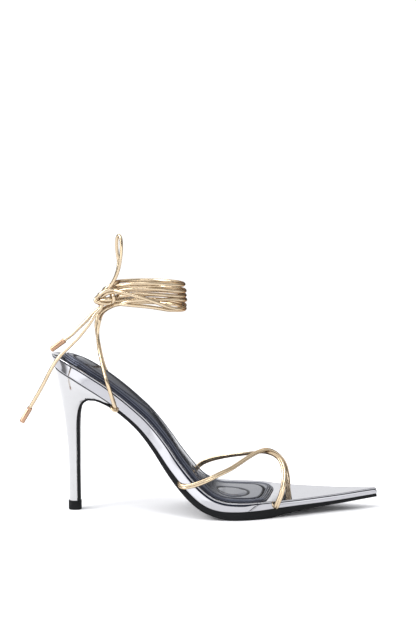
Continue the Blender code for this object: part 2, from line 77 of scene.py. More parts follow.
# arc length, downward pitch of the board's underside in degrees
PITCH_TABLE = (
    (-1.2, 18), (18, 31), (40, 35), (60, 41), (80, 52), (95, 56), (108, 52), (120, 48),
    (132, 39.5), (145, 18), (158, 1), (175, -1.5), (215, -1.5), (240, -4), (261, -6),
)

# arc length, lateral edge, medial edge of the board
OUTLINE_TABLE = (
    (-1.2, 0, 0), (4, -14.2, 14.2), (11.5, -19.8, 19.8), (24, -22.6, 22.6), (45, -22.2, 21.2),
    (70, -22.0, 19.3), (90, -24.2, 18.8), (110, -28.6, 20.4), (130, -33.2, 25.4), (147, -36.4, 32.4),
    (161, -37.1, 36.3), (176, -33.6, 34.8), (190, -27.0, 29.6), (212, -17.2, 21.6), (234, -7.9, 13.4),
    (250, -1.4, 8.0), (257, 0.8, 5.6), (261, 3.0, 3.0),
)

# arc length, outsole thickness, board thickness
LAYER_TABLE = (
    (0, 2.1, 8.2), (30, 2.1, 8.3), (48, 2.0, 7.7), (62, 2.1, 7.3), (78, 2.4, 7.4), (95, 2.7, 7.9),
    (118, 3.6, 8.0), (134, 4.0, 8.0), (147, 4.5, 7.4), (158, 5.6, 6.6), (172, 6.2, 6.0),
    (183, 6.3, 5.7), (193, 5.0, 5.0), (208, 3.4, 4.6), (224, 2.5, 4.7), (261, 2.0, 4.5),
)

# reach along the board, rise of the underside and drop of the top as an end closes
HEEL_DOME = (4.5, 1.2, 0.8)
TOE_DOME = (3.2, 0.4, 1.5)
# rise of the board's top round the back of the heel: height, arc length where it ends
SEAT_LIP = (1.6, 11.0)
# backward lean of the board at the heel, for each millimetre of height, and where it has faded
HEEL_LEAN = 0.6
LEAN_REACH = 17.0
BOARD_STATIONS = 300
# parts of the board's side profile further in than this lie on its top or its underside
SIDE_REACH = 0.9

# distances of the outsole from the board: in from its edge, down from its underside
OUTSOLE_INSET = 0.8
OUTSOLE_DROP = 0.08
OUTSOLE_ENDS = (0.5, LENGTH - 0.7)
OUTSOLE_STATIONS = 210
NARROWEST_TOE = 0.6
# corner radii at the outer and at the inner face, and the largest share of the sheet they may take
OUTSOLE_CORNERS = (0.7, 0.35)
FLAP_CORNERS = (0.6, 0.3)
CORNER_SHARE = 0.42
# length of the bend at the flap's top, which has closer stations
FLAP_BEND = 26.0
# arc lengths where the outsole turns down the heel breast and where the heel's seat ends
BREAST_ARC = 47.0
SEAT_ARC = 43.6
SEAT_INSET = 0.5
SEAT_DROP = 0.12

# the flap's outer face down the heel breast: x, z, half width, thickness
FLAP_TABLE = (
    (-76.6, 77.5, 20.0, 1.7), (-80.3, 79.0, 19.4, 1.5), (-83.9, 79.9, 18.5, 1.4),
    (-87.2, 79.9, 17.4, 1.4), (-89.6, 78.8, 15.9, 1.5), (-91.5, 76.7, 13.7, 1.7),
    (-92.9, 73.0, 11.3, 1.9), (-93.9, 67.0, 9.0, 2.0), (-94.3, 59.0, 7.0, 2.1),
    (-94.4, 45.0, 5.5, 2.1), (-94.4, 28.0, 4.7, 2.1), (-94.3, 6.6, 4.4, 2.1),
)

# heel sections from the seat to the tip: back x, back z, breast x, breast z, half width, half width at
# the breast, seat share
HEEL_TABLE = (
    (-111.5, 100.9, -73.0, 78.7, 22.0, 21.6, 1.0), (-110.8, 96.8, -76.3, 79.6, 21.6, 21.3, 0.65),
    (-110.0, 92.3, -80.0, 81.0, 20.5, 20.8, 0.35), (-109.2, 87.8, -84.0, 81.8, 18.9, 20.0, 0.15),
    (-108.4, 83.4, -87.8, 81.7, 16.9, 19.0, 0.0), (-107.4, 79.0, -91.0, 80.1, 14.6, 17.2, 0.0),
    (-106.6, 74.0, -93.5, 77.1, 12.2, 14.4, 0.0), (-105.7, 69.0, -95.2, 72.3, 10.2, 11.6, 0.0),
    (-104.9, 63.5, -96.3, 65.5, 8.6, 9.2, 0.0), (-104.1, 56.0, -96.8, 57.0, 7.2, 7.3, 0.0),
    (-103.0, 44.0, -96.9, 44.3, 5.9, 5.9, 0.0), (-102.4, 28.0, -96.8, 28.0, 5.0, 5.0, 0.0),
    (-102.3, 6.6, -96.7, 6.6, 4.6, 4.6, 0.0),
)

HEEL_POINTS = 34
HEEL_LEVELS = 97
# shares of the heel's depth: where its back is round to full width, where it spreads to the breast
HEEL_ROUND = 0.62
BREAST_START = 0.35
BREAST_REACH = 0.6

# top lift: x of its back and its front, half width, height
LIFT_BACK = -102.9
LIFT_FRONT = -93.7
LIFT_HALF_WIDTH = 4.7
LIFT_HEIGHT = 6.3
# power that makes its oval outline squarer
LIFT_POWER = 0.75

# sock: arc length, lateral edge, medial edge, thickness at the edge, crown
SOCK_TABLE = (
    (3.8, 0, 0, 2.2, 0.4), (7.0, -8.8, 8.8, 2.7, 0.9), (13, -14.4, 14.4, 2.4, 1.3),
    (24, -18.4, 18.4, 2.3, 1.4), (45, -18.8, 17.6, 2.5, 1.2), (70, -18.4, 15.6, 2.6, 0.9),
    (90, -20.4, 14.6, 2.3, 0.9), (110, -24.8, 14.4, 2.1, 0.9), (130, -29.4, 16.8, 1.4, 0.6),
    (147, -32.4, 22.6, 0.8, 0.4), (161, -33.2, 26.0, 0.7, 0.3), (172, -32.6, 26.2, 0.7, 0.3),
    (178, -30.2, 25.6, 0.7, 0.3), (182, -26.6, 24.0, 0.7, 0.3), (185, -15.5, 21.2, 0.7, 0.3),
    (187.2, -1.0, 17.4, 0.7, 0.2), (188.4, 9.5, 9.5, 0.7, 0.2),
)

SOCK_STATIONS = 420
SOCK_EDGE_POINTS = 15
SOCK_MIDDLE_POINTS = 85
SOCK_OUTLINE_STATIONS = 400
SOCK_LIFT = 0.06
# lines pressed along the sock's edge: distance up from the edge, share of the full depth
EDGE_LINES = ((1.2, 0.8), (2.6, 0.9), (4.0, 0.8))
# distance of each raised bead, lightened by a painted highlight, beyond each of those lines
BEAD_OFFSET = 0.75
# height of the forefoot panel, and spacing of the points round each pad
PANEL_RISE = 0.3
PAD_SPACING = 0.8

# pads pressed into the sock: arc length and y round each outline
HEEL_PAD = (
    (9.4, 0), (11.6, -7.6), (18, -11.8), (28, -14.0), (42, -14.0), (55, -11.2), (64, -7.4), (70, -3.0),
    (64, 2.2), (55, 7.0), (42, 11.2), (28, 13.2), (18, 11.6), (11.6, 7.6),
)
FOREFOOT_PANEL = (
    (117, -9.0), (126, -17.0), (136, -23.0), (147, -26.0), (160, -27.0), (171, -26.2), (176, -23.2),
    (179, -17.0), (181, -6.0), (181.6, 4.0), (180.4, 11.0), (177, 17.0), (170, 19.6), (160, 19.4),
    (150, 16.4), (138, 9.4), (126, -0.6),
)
# oval under the ball: arc length and y of its middle, half length, half width
BALL_OVAL = (158.5, -8.6, 12.2, 14.0)

# wrap seam on the lateral side: share of the board's height, arc length
SEAM_TABLE = ((0.0, 170.6), (0.45, 173.0), (0.8, 174.8), (1.0, 176.8))
# closer stations along the seam: first, last, step
SEAM_SPAN = (168.0, 181.0, 0.3)

# strap over the toes, from the lateral arch to the medial toe: x, y, z
UPPER_STRAP = (
    (-26.0, -24.0, 24.6), (-25.6, -28.5, 24.2), (-24.4, -32.0, 23.6), (-21.4, -34.6, 23.4),
    (-16.4, -35.8, 24.6), (-12.1, -36.0, 26.0), (-6.2, -35.3, 28.2), (2.0, -31.9, 31.5),
    (10.3, -27.0, 34.5), (16.5, -21.0, 37.2), (23.5, -14.0, 40.3), (29.6, -8.0, 42.2),
    (36.0, -1.0, 42.3), (42.0, 7.0, 37.9), (46.2, 13.5, 32.3), (48.9, 19.0, 26.3), (50.4, 23.4, 19.7),
    (51.2, 26.8, 13.0), (51.1, 26.6, 8.6), (50.8, 23.6, 7.6), (50.6, 19.0, 7.4),
)
# strap under it, from the medial arch to the lateral toe
LOWER_STRAP = (
    (-16.0, 16.5, 20.0), (-15.8, 21.5, 20.2), (-15.0, 25.6, 21.0), (-12.6, 27.6, 23.8),
    (-8.3, 27.2, 27.0), (-4.5, 26.4, 28.7), (3.3, 23.6, 31.4), (11.5, 20.4, 33.5), (20.6, 15.4, 35.6),
    (26.7, 9.0, 37.8), (34.9, -1.5, 40.3), (41.1, -9.5, 39.9), (44.5, -15.5, 37.8), (46.0, -20.0, 34.6),
    (46.7, -24.0, 30.8), (46.5, -27.0, 26.3), (45.7, -29.0, 21.2), (44.3, -29.8, 16.2),
    (42.5, -29.9, 11.6), (41.2, -28.8, 8.0), (40.4, -25.0, 6.8), (40.4, -20.5, 6.8),
)
# middle of the foot that the straps lie on: x, z
FOOT_CORE = ((-30, 33), (-18, 26), (0, 17), (30, 12), (56, 10.5))
# how strongly each step along a strap turns it flat to the foot
FOOT_PULL = 0.2

# weight of a step's length in a smoothed path, from 0 for even steps to 1, and its finest points a step
PATH_POWER = 0.75
PATH_POINTS = 24
# distance between the points of a smoothed path
STRAP_SPACING = 0.7
LACE_SPACING = 1.3
KEEPER_SPACING = 0.5
KNOT_SPACING = 0.6
FREE_SPACING = 0.8
CORD_SIDES = 18
# thickness of the keepers and of the bow as a share of the lace's
KEEPER_SHARE = 0.62
BOW_SHARE = 0.88
# radius of the tiny rings that close an aglet in its middle, how far the lace goes into its mouth and
# how far it sits off the lace's middle
AGLET_CENTRE = 0.002
AGLET_OVERLAP = 0.9
AGLET_OFFSET = 0.2

# oval of the lace round the ankle, and the angle between the points of its turns
ANKLE_STEP = 13
ANKLE_X = -50.9
ANKLE_RADIUS_X = 29.5
ANKLE_RADIUS_Y = 28.0

# risers from the arch to the back of the ankle: x, y, z
LATERAL_RISER = (
    (-67.4, -14.5, 76.2), (-68.0, -19.0, 75.8), (-68.9, -23.6, 75.8), (-70.6, -24.8, 81.6),
    (-72.6, -24.7, 88.4), (-74.8, -23.8, 95.2), (-77.0, -18.8, 101.8), (-79.4, -12.0, 110.0),
    (-81.0, -7.0, 118.5), (-81.4, -4.6, 127.0),
)
MEDIAL_RISER = (
    (-67.6, 13.5, 76.6), (-68.2, 18.0, 76.4), (-69.2, 22.4, 77.2), (-72.0, 23.8, 82.6),
    (-75.2, 23.8, 89.6), (-77.9, 22.2, 95.8), (-79.7, 16.2, 103.9), (-81.0, 8.6, 113.4),
    (-82.4, 3.8, 124.0), (-82.6, 2.2, 131.6),
)

# turns round the ankle: angle from the back, going round by the lateral side, height, offset outward
LATERAL_TURNS = (
    (10, 134.4, 0), (20, 138.5, 0), (29, 141.4, 0), (38, 143.7, 0), (50, 146.4, 0), (62, 148.5, 0),
    (75, 150.3, 0), (90, 151.2, 0), (125, 151.0, 0), (180, 147.4, 0.4),
    (270, 146.7, 0), (335, 145.4, 0), (360, 146.4, 0), (405, 151.4, 0), (432, 154.8, 0), (450, 155.5, 0),
    (540, 150.5, 0), (630, 150.0, 0), (695, 150.3, 0), (720, 151.1, 0), (765, 155.8, 0),
    (810, 159.2, 0), (900, 153.7, 0), (990, 153.1, 0), (1045, 153.4, -1.6), (1080, 154.3, -3.4),
    (1125, 159.0, -0.6), (1170, 162.7, 0), (1260, 158.2, -0.8), (1350, 157.2, 0), (1395, 158.0, -6),
    (1440, 159.6, -13), (1455, 159.6, -11.5), (1468, 158.9, -8), (1478, 157.4, -4.2),
    (1486, 155.4, -1.6),
)
MEDIAL_TURNS = (
    (-10, 139.2, 0), (-90, 141.4, 0), (-180, 141.4, 0), (-229, 143.5, 0), (-255, 146.2, 0),
    (-270, 147.2, 0), (-300, 148.0, 0), (-330, 146.8, 0), (-360, 144.6, 0), (-405, 143.3, 0),
    (-450, 144.0, 0), (-540, 143.6, 0), (-575, 143.6, 1.6), (-591, 145.3, 3.0), (-606, 148.5, 3.2),
    (-619, 151.6, 3.2), (-630, 153.6, 3.2), (-645, 155.8, 3.2), (-658, 157.2, 3.2), (-664, 157.7, 3.3),
)

# small loops of cord in the sole seam that hold the risers: x, y, z, on the lateral side, and how much
# higher the medial one sits
KEEPER_RISE = 1.2
KEEPER_LOOP = (
    (-71.6, -19.0, 76.9), (-71.9, -23.2, 76.3), (-70.9, -25.6, 75.4), (-69.1, -26.0, 74.4),
    (-67.7, -25.2, 74.1), (-67.3, -23.6, 75.1), (-67.8, -20.0, 75.7),
)

# strands of the knot: x, y, z
KNOT_STRANDS = (
    # outer arch
    (
        (-64.5, -24.0, 156.8), (-67.8, -25.6, 157.8), (-71.1, -26.8, 158.2), (-74.1, -27.4, 157.6),
        (-76.9, -27.4, 156.2), (-79.3, -26.6, 154.2), (-81.3, -25.0, 152.0), (-81.9, -22.6, 150.2),
        (-81.0, -20.4, 148.7), (-78.6, -19.4, 148.3),
    ),
    # inner arch
    (
        (-62.5, -23.6, 155.2), (-66.5, -24.8, 155.8), (-70.2, -25.6, 156.1), (-73.1, -25.8, 155.8),
        (-75.3, -25.4, 154.5), (-76.9, -24.6, 152.8), (-78.1, -23.4, 151.0), (-79.0, -22.0, 149.1),
    ),
    # inner loop
    (
        (-77.6, -25.6, 150.9), (-75.5, -26.6, 151.2), (-73.2, -27.0, 151.3), (-71.2, -26.4, 151.2),
        (-70.4, -25.0, 150.1), (-71.5, -24.6, 148.9), (-73.7, -25.4, 148.5), (-76.2, -26.2, 148.7),
        (-78.6, -26.6, 149.2), (-80.7, -26.4, 149.8), (-81.8, -25.6, 150.9), (-81.1, -25.2, 151.9),
        (-79.3, -25.8, 151.9),
    ),
    # collar round the lace
    (
        (-70.9, -23.6, 155.5), (-69.9, -26.4, 154.8), (-69.3, -27.4, 153.2), (-69.2, -27.2, 151.2),
        (-70.0, -25.6, 149.2), (-71.2, -22.4, 148.1), (-71.6, -19.0, 149.3), (-71.3, -18.2, 152.0),
        (-71.1, -20.0, 154.3),
    ),
)

# the free cords, from the knot outward: x, y, z
BOW_LOOP = (
    (-77.0, -23.4, 154.4), (-75.4, -24.6, 156.6), (-73.0, -25.8, 158.8), (-71.0, -26.6, 161.2),
    (-69.4, -27.0, 163.8), (-67.9, -27.3, 166.8), (-66.5, -27.6, 170.4), (-65.4, -27.8, 174.4),
    (-64.6, -27.8, 178.8), (-64.1, -27.4, 183.4), (-63.9, -26.8, 187.6), (-64.1, -25.6, 191.4),
    (-64.8, -24.2, 193.9), (-65.8, -22.8, 194.7), (-66.8, -21.4, 193.2), (-67.3, -20.4, 190.0),
    (-67.3, -19.8, 186.0), (-66.9, -19.6, 181.6), (-66.2, -19.8, 177.0), (-66.4, -20.6, 173.0),
    (-67.5, -21.6, 168.6), (-69.2, -22.4, 164.4), (-71.4, -22.6, 160.9), (-74.6, -22.0, 158.4),
    (-76.8, -20.8, 156.4), (-78.4, -20.4, 154.4),
)
UPPER_END = (
    (-76.4, -20.8, 146.6), (-78.4, -21.1, 145.3), (-80.6, -21.4, 143.7), (-84.2, -21.6, 140.8),
    (-87.8, -21.4, 136.8), (-93.4, -20.8, 131.2), (-99.0, -20.2, 125.8), (-104.0, -19.8, 122.1),
)
LOWER_END = (
    (-75.2, -23.2, 153.0), (-76.7, -23.8, 150.6), (-77.8, -23.9, 147.0), (-78.9, -24.2, 144.2),
    (-81.4, -25.6, 141.8), (-84.6, -27.0, 137.0), (-88.8, -27.8, 131.2), (-94.0, -28.4, 125.0),
    (-99.2, -28.6, 119.8), (-105.2, -28.8, 113.9), (-109.1, -28.8, 108.9), (-113.7, -28.6, 101.0),
    (-117.8, -28.4, 93.0), (-122.8, -28.2, 84.0), (-127.2, -28.0, 76.6),
)

# camera at the photograph's viewpoint, for a frame of 416 by 629
FRAME_HEIGHT_PX = 629
FOCAL_PX = 2200
CAMERA_PLACE = (-0.00535, -1.4992, 0.368)
CAMERA_PITCH = 8.75
SENSOR = 36.0

# studio floor in metres: half width, reach behind the shoe, drop under it
FLOOR_HALF = 1.9
FLOOR_BACK = 0.8
FLOOR_DROP = 0.0001

# softboxes: name, place and target in metres, width and height in metres, watts
SOFTBOXES = (
    ("overhead_softbox", (-0.25, -0.3, 1.3), (0.0, 0.0, 0.1), (1.4, 0.16), 5.0),
    ("left_softbox", (-1.3, -0.7, 0.9), (-0.02, 0.0, 0.1), (0.4, 1.0), 8.5),
)
# wide even light: strength, height in metres, angle across and turn in degrees
EVEN_STRENGTH = 2.55
EVEN_HEIGHT = 2.0
EVEN_ANGLE = 45
EVEN_TURN = (8, -43, 0)

# room behind the camera: height of the direction, brightness
STRIP_LEVELS = (
    (0.0, 1.7), (0.05, 2.3), (0.18, 2.3), (0.28, 1.2), (0.37, 0.2), (0.6, 0.2), (0.72, 1.1),
)
ROOM_COLOUR = (0.98, 0.985, 1.0, 1.0)
BACKDROP_COLOUR = (1.0, 1.0, 1.0, 1.0)
BACKDROP_STRENGTH = 1.1


def linear(colour):
    """An sRGB hex colour as linear red, green and blue."""
    parts = [int(colour[i:i + 2], 16) / 255 for i in (1, 3, 5)]
    return tuple(p / 12.92 if p <= 0.04045 else ((p + 0.055) / 1.055) ** 2.4 for p in parts)


def size(name, description, millimetres):
    """A length that a user can change, kept in metres so that Blender shows it in the scene's unit."""
    return FloatProperty(
        name=name, description=description, subtype="DISTANCE", unit="LENGTH", min=0.0, precision=5,
        default=millimetres * MM,
    )


def tint(name, description, colour):
    """A colour that a user can change."""
    return FloatVectorProperty(
        name=name, description=description, subtype="COLOR", size=3, min=0.0, max=1.0,
        default=linear(colour),
    )


class SandalBoard(bpy.types.PropertyGroup):
    """Sizes of the wrapped board."""

    rim_radius: size("Rim radius", "Radius of the rolled rim", 0.5)
    groove_depth: size("Groove depth", "Depth of the crease under the rim", 0.45)
    edge_radius: size("Lower edge radius", "Radius of the board's lower edge", 0.6)
    seam_step: size("Seam step", "Thickness of the wrap's overlap at its seam", 0.25)


class SandalSock(bpy.types.PropertyGroup):
    """Sizes of the padded sock."""

    edge_roll: size("Edge roll", "Distance over which the sock's edge rounds down", 2.4)
    line_depth: size("Line depth", "Depth of the pressed lines", 0.42)
    line_width: size("Line width", "Half width of the pressed lines", 0.5)
    pad_rise: size("Heel pad rise", "Height of the heel pad over the sock", 0.5)
    oval_rise: size("Ball oval rise", "Height of the oval under the ball", 0.55)


class SandalLace(bpy.types.PropertyGroup):
    """Sizes of the cords."""

    lace_diameter: size("Lace diameter", "Thickness of the round lace", 2.5)
    lobe_diameter: size("Strap strand diameter", "Thickness of each strand of a toe strap", 2.1)
    strand_pitch: size("Strand pitch", "Distance between the two strands of a toe strap", 1.36)
    aglet_diameter: size("Aglet diameter", "Outside of the metal tips", 3.7)
    aglet_length: size("Aglet length", "Length of the metal tips", 10.8)


class SandalFinish(bpy.types.PropertyGroup):
    """Colours of the sandal."""

    silver_wrap: tint("Silver wrap", "Mirror-coated wrap of the board", "#B0B0B4")
    silver_heel: tint("Silver heel", "Plated stiletto heel", "#C1C1C2")
    sock_leather: tint("Sock leather", "Padded black leather", "#191B22")
    rubber: tint("Rubber", "Black outsole and top lift", "#0A0B0D")
    gold: tint("Gold cord", "Pale gold foil on the cords", "#CABAA2")
    peach: tint("Peach-gold metal", "Metal tips of the lace", "#B5937A")
    floor: tint("Floor", "Studio floor", "#F6F6F8")


class SandalSettings(bpy.types.PropertyGroup):
    """All that a user would change on the sandal."""

    board: PointerProperty(type=SandalBoard)
    sock: PointerProperty(type=SandalSock)
    lace: PointerProperty(type=SandalLace)
    finish: PointerProperty(type=SandalFinish)


def in_mm(group):
    """The lengths of a property group, in millimetres."""
    names = type(group).__annotations__
    return SimpleNamespace(**{name: round(getattr(group, name) / MM, 6) for name in names})


def cubic(t, span, start, end, start_slope, end_slope):
    """Value at share t of a span, between two values with a slope at each."""
    low = (1 + 2 * t) * (1 - t) ** 2 * start + t * (1 - t) ** 2 * span * start_slope
    high = t * t * (3 - 2 * t) * end + t * t * (t - 1) * span * end_slope
    return low + high


def smooth(table, column, at):
    """Reads a column of a table at the given first-column values, by a monotone cubic."""
    rows = np.array(table, float)
    xs = rows[:, 0]
    ys = rows[:, column]
    if xs[0] > xs[-1]:
        xs = xs[::-1]
        ys = ys[::-1]
    at = np.clip(np.asarray(at, float), xs[0], xs[-1])
    step = np.diff(xs)
    rise = np.diff(ys) / step
    slope = np.empty_like(ys)
    slope[0] = rise[0]
    slope[-1] = rise[-1]
    same = rise[:-1] * rise[1:] > 0
    total = np.where(same, rise[:-1] + rise[1:], 1.0)
    slope[1:-1] = np.where(same, 2 * rise[:-1] * rise[1:] / total, 0.0)
    i = np.clip(np.searchsorted(xs, at, side="right") - 1, 0, len(xs) - 2)
    t = (at - xs[i]) / step[i]
    return cubic(t, step[i], ys[i], ys[i + 1], slope[i], slope[i + 1])


# the board's curve, with about four points a millimetre
ARC = np.linspace(HEEL_END, LENGTH, 1049)
PITCH = np.radians(smooth(PITCH_TABLE, 1, ARC))


def summed(values):
    """Running integral of values along ARC."""
    steps = (values[1:] + values[:-1]) / 2 * np.diff(ARC)
    return np.concatenate([[0.0], np.cumsum(steps)])


CURVE_X = HEEL_START[0] + summed(np.cos(PITCH))
CURVE_Z = HEEL_START[1] - summed(np.sin(PITCH))


def on_shoe(s, y, n):
    """Points at arc length s, y across and n above the board's underside, leaning back at the heel."""
    s = np.asarray(s, float)
    pitch = np.interp(s, ARC, PITCH)
    lean = HEEL_LEAN * np.clip(1 - (s - HEEL_END) / LEAN_REACH, 0.0, None) ** 2
    x = np.interp(s, ARC, CURVE_X) + n * np.sin(pitch) - lean * n
    z = np.interp(s, ARC, CURVE_Z) + n * np.cos(pitch)
    return np.stack(np.broadcast_arrays(x, y, z), axis=-1)


def edge(table, column, s):
    """Edge of an outline, read so that both ends close in a round curve."""
    rows = np.array(table, float)
    first = rows[0, 0]
    span = rows[-1, 0] - first
    turned = np.column_stack([np.arccos(1 - 2 * (rows[:, 0] - first) / span), rows[:, column]])
    share = np.clip((np.asarray(s, float) - first) / span, 0.0, 1.0)
    return smooth(turned, 1, np.arccos(1 - 2 * share))


def stations(first, last, count):
    """Arc lengths that crowd together toward both ends."""
    return first + (last - first) * (1 - np.cos(np.linspace(0.0, np.pi, count))) / 2


def closing(dome, distance):
    """Rise of the underside and drop of the top at a distance from a rounded end."""
    reach, rise, drop = dome
    share = np.clip(1 - np.asarray(distance, float) / reach, 0.0, 1.0)
    bend = 1 - np.sqrt(1 - share * share)
    return rise * bend, drop * bend


def eased(value):
    """Smooth step from 0 to 1."""
    share = np.clip(value, 0.0, 1.0)
    return share * share * (3 - 2 * share)


def bell(distance, width):
    """Smooth bump that is 1 at no distance and fades over a width."""
    return np.exp(-(distance / width) ** 2)


def unit(vectors):
    """The same directions with length one."""
    return vectors / np.linalg.norm(vectors, axis=-1, keepdims=True)


def board_top(s):
    """Height of the board's top over its underside, away from its rounded ends."""
    rise, reach = SEAT_LIP
    return smooth(LAYER_TABLE, 2, s) + rise * eased((reach - s) / (reach - HEEL_END))


def board_layer(s):
    """Underside and top of the board at arc length s."""
    heel_rise, heel_drop = closing(HEEL_DOME, s - HEEL_END)
    toe_rise, toe_drop = closing(TOE_DOME, LENGTH - s)
    return heel_rise + toe_rise, board_top(s) - heel_drop - toe_drop


def shifted(points):
    """Millimetres in the building frame to metres in the shoe's frame."""
    return (np.asarray(points, float) + np.array([*CENTRE_SHIFT, 0.0])) * MM


def smooth_path(route, spacing):
    """Evenly spaced points on a smooth curve through the route's own points."""
    points = np.array(route, float)
    gaps = np.linalg.norm(np.diff(points, axis=0), axis=1) ** PATH_POWER
    knots = np.concatenate([[0], np.cumsum(gaps)])
    slope = np.gradient(points, knots, axis=0)
    fine = []
    for i in range(len(points) - 1):
        span = knots[i + 1] - knots[i]
        t = np.linspace(0, 1, PATH_POINTS, endpoint=i == len(points) - 2)[:, None]
        fine.append(cubic(t, span, points[i], points[i + 1], slope[i], slope[i + 1]))
    fine = np.concatenate(fine)
    run = np.concatenate([[0], np.cumsum(np.linalg.norm(np.diff(fine, axis=0), axis=1))])
    marks = np.linspace(0, run[-1], max(2, int(round(run[-1] / spacing))) + 1)
    return np.stack([np.interp(marks, run, fine[:, k]) for k in range(3)], axis=1)


def closed_path(route, spacing):
    """Evenly spaced points on a smooth closed curve through s and y."""
    wound = [*route[-3:], *route, *route[:4]]
    flat = smooth_path([(s, y, 0.0) for s, y in wound], spacing)
    start = int(np.argmin(np.hypot(*(flat[:len(flat) // 2, :2] - route[0]).T)))
    half = len(flat) // 2
    stop = half + int(np.argmin(np.hypot(*(flat[half:, :2] - route[0]).T)))
    return flat[start:stop, :2]


def distance_to(points, loop):
    """Distance of each s and y from a closed loop, positive inside it."""
    heads = np.asarray(loop, float)
    tails = np.roll(heads, -1, axis=0)
    along = tails - heads
    length = np.maximum((along ** 2).sum(axis=1), 1e-12)
    result = np.empty(len(points))
    batch = 2000
    for first in range(0, len(points), batch):
        part = points[first:first + batch, None, :]
        share = np.clip(((part - heads) * along).sum(axis=2) / length, 0.0, 1.0)
        gap = part - heads - share[..., None] * along
        near = np.sqrt((gap ** 2).sum(axis=2).min(axis=1))
        above = (heads[:, 1] > part[..., 1]) != (tails[:, 1] > part[..., 1])
        rise = np.where(along[:, 1] == 0, 1e-12, along[:, 1])
        crossing = heads[:, 0] + (part[..., 1] - heads[:, 1]) / rise * along[:, 0]
        inside = ((above & (part[..., 0] < crossing)).sum(axis=1) % 2) == 1
        result[first:first + batch] = np.where(inside, near, -near)
    return result


def shade_smooth(mesh, crease):
    """Smooth shading, with edges sharper than the crease angle kept sharp."""
    mesh.polygons.foreach_set("use_smooth", np.ones(len(mesh.polygons), bool))
    mesh.set_sharp_from_angle(angle=math.radians(crease))


def finished_piece(name, build, material, crease=40.0):
    """Object from a bmesh: doubles merged, normals outward, shaded smooth up to a crease angle."""
    bmesh.ops.remove_doubles(build, verts=build.verts[:], dist=MERGE_DISTANCE)
    bmesh.ops.dissolve_degenerate(build, edges=build.edges[:], dist=MERGE_DISTANCE / 2)
    bmesh.ops.recalc_face_normals(build, faces=build.faces[:])
    mesh = bpy.data.meshes.new(name)
    build.to_mesh(mesh)
    build.free()
    shade_smooth(mesh, crease)
    return added_piece(name, mesh, material)


def added_piece(name, mesh, material):
    """Object with its material, in the scene and riding on the shoe."""
    mesh.materials.clear()
    mesh.materials.append(material)
    piece = bpy.data.objects.new(name, mesh)
    bpy.context.scene.collection.objects.link(piece)
    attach(piece, BODY)
    return piece


def add_rings(build, rings, closed_ends=True):
    """Skin through a row of rings with equal counts, given in millimetres."""
    rows = [[build.verts.new(p) for p in shifted(ring)] for ring in rings]
    count = len(rows[0])
    for a, b in zip(rows, rows[1:]):
        for i in range(count):
            j = (i + 1) % count
            build.faces.new((a[i], a[j], b[j], b[i]))
    if closed_ends:
        build.faces.new(rows[0])
        build.faces.new(rows[-1])
    return rows


def store_on(rows, layer, values):
    """Stores on the corners of each row one value for the row, or one for each corner."""
    for row, given in zip(rows, values):
        for vert, value in zip(row, np.broadcast_to(given, len(row))):
            vert[layer] = value


def add_node(tree, kind, inputs=None, **settings):
    """Adds a node, with its settings, and fills its inputs with values or with other nodes' outputs."""
    made = tree.nodes.new(kind)
    for name, value in settings.items():
        setattr(made, name, value)
    for key, value in (inputs or {}).items():
        if isinstance(value, bpy.types.NodeSocket):
            tree.links.new(value, made.inputs[key])
        else:
            made.inputs[key].default_value = value
    return made


def empty_material(name):
    """Material with an empty node tree, and that tree."""
    made = bpy.data.materials.new(name)
    made.use_nodes = True
    made.node_tree.nodes.clear()
    return made, made.node_tree


def per_mm(millimetres):
    """Texture scale, in repeats a metre, of a feature this many millimetres across."""
    return 1.0 / (millimetres * MM)


def painted_crease_shade_mix(tree, colour, dark):
    """Surface colour with painted shade: it turns dark where the piece stores a crease value."""
    crease = add_node(tree, "ShaderNodeAttribute", attribute_name="crease")
    made = add_node(tree, "ShaderNodeMix", {
        "Factor": crease.outputs["Fac"], 6: colour, 7: (*linear(dark), 1.0),
    }, data_type="RGBA")
    return made.outputs[2], crease.outputs["Fac"]


def mirror_finish(name, colour, wave, roughness):
    """Mirror-coated surface: bright, cool and nearly sharp, with the slow waviness of its base."""
    made, tree = empty_material(name)
    place = add_node(tree, "ShaderNodeTexCoord").outputs["Object"]
    swell = add_node(tree, "ShaderNodeTexNoise", {
        "Vector": place, "Scale": per_mm(14.0), "Detail": 1.0,
    })
    haze = add_node(tree, "ShaderNodeTexNoise", {
        "Vector": place, "Scale": per_mm(5.0), "Detail": 3.0,
    })
    # the coat's orange peel, about 0.3 mm, is drawn coarser so that it shows
    pitted = add_node(tree, "ShaderNodeTexNoise", {
        "Vector": place, "Scale": per_mm(0.8), "Detail": 2.0,
    })
    rough = add_node(tree, "ShaderNodeMapRange", {
        "Value": haze.outputs["Fac"], "From Min": 0.35, "From Max": 0.7,
        "To Min": roughness, "To Max": roughness * 1.9,
    })
    body = add_node(tree, "ShaderNodeMix", {
        "Factor": haze.outputs["Fac"], 6: (*colour, 1.0), 7: (*[c * 0.93 for c in colour], 1.0),
    }, data_type="RGBA")
    # painted shade: near black where a crease value is stored, in the groove under the rim, along the
    # seam, on the toe's fold and at the heel's joint
    shown, crease = painted_crease_shade_mix(tree, body.outputs[2], "#1B1F2B")
    dull = add_node(tree, "ShaderNodeMath", {0: crease, 1: 0.4, 2: rough.outputs["Result"]},
                    operation="MULTIPLY_ADD")
    soft = add_node(tree, "ShaderNodeBump", {
        "Strength": wave, "Distance": 0.4 * MM, "Height": swell.outputs["Fac"],
    })
    fine = add_node(tree, "ShaderNodeBump", {
        "Strength": 0.012, "Distance": 0.05 * MM, "Height": pitted.outputs["Fac"],
        "Normal": soft.outputs["Normal"],
    })
    shader = add_node(tree, "ShaderNodeBsdfPrincipled", {
        "Base Color": shown, "Metallic": 1.0, "Roughness": dull.outputs["Value"],
        "Normal": fine.outputs["Normal"],
    })
    add_node(tree, "ShaderNodeOutputMaterial", {"Surface": shader.outputs["BSDF"]})
    return made


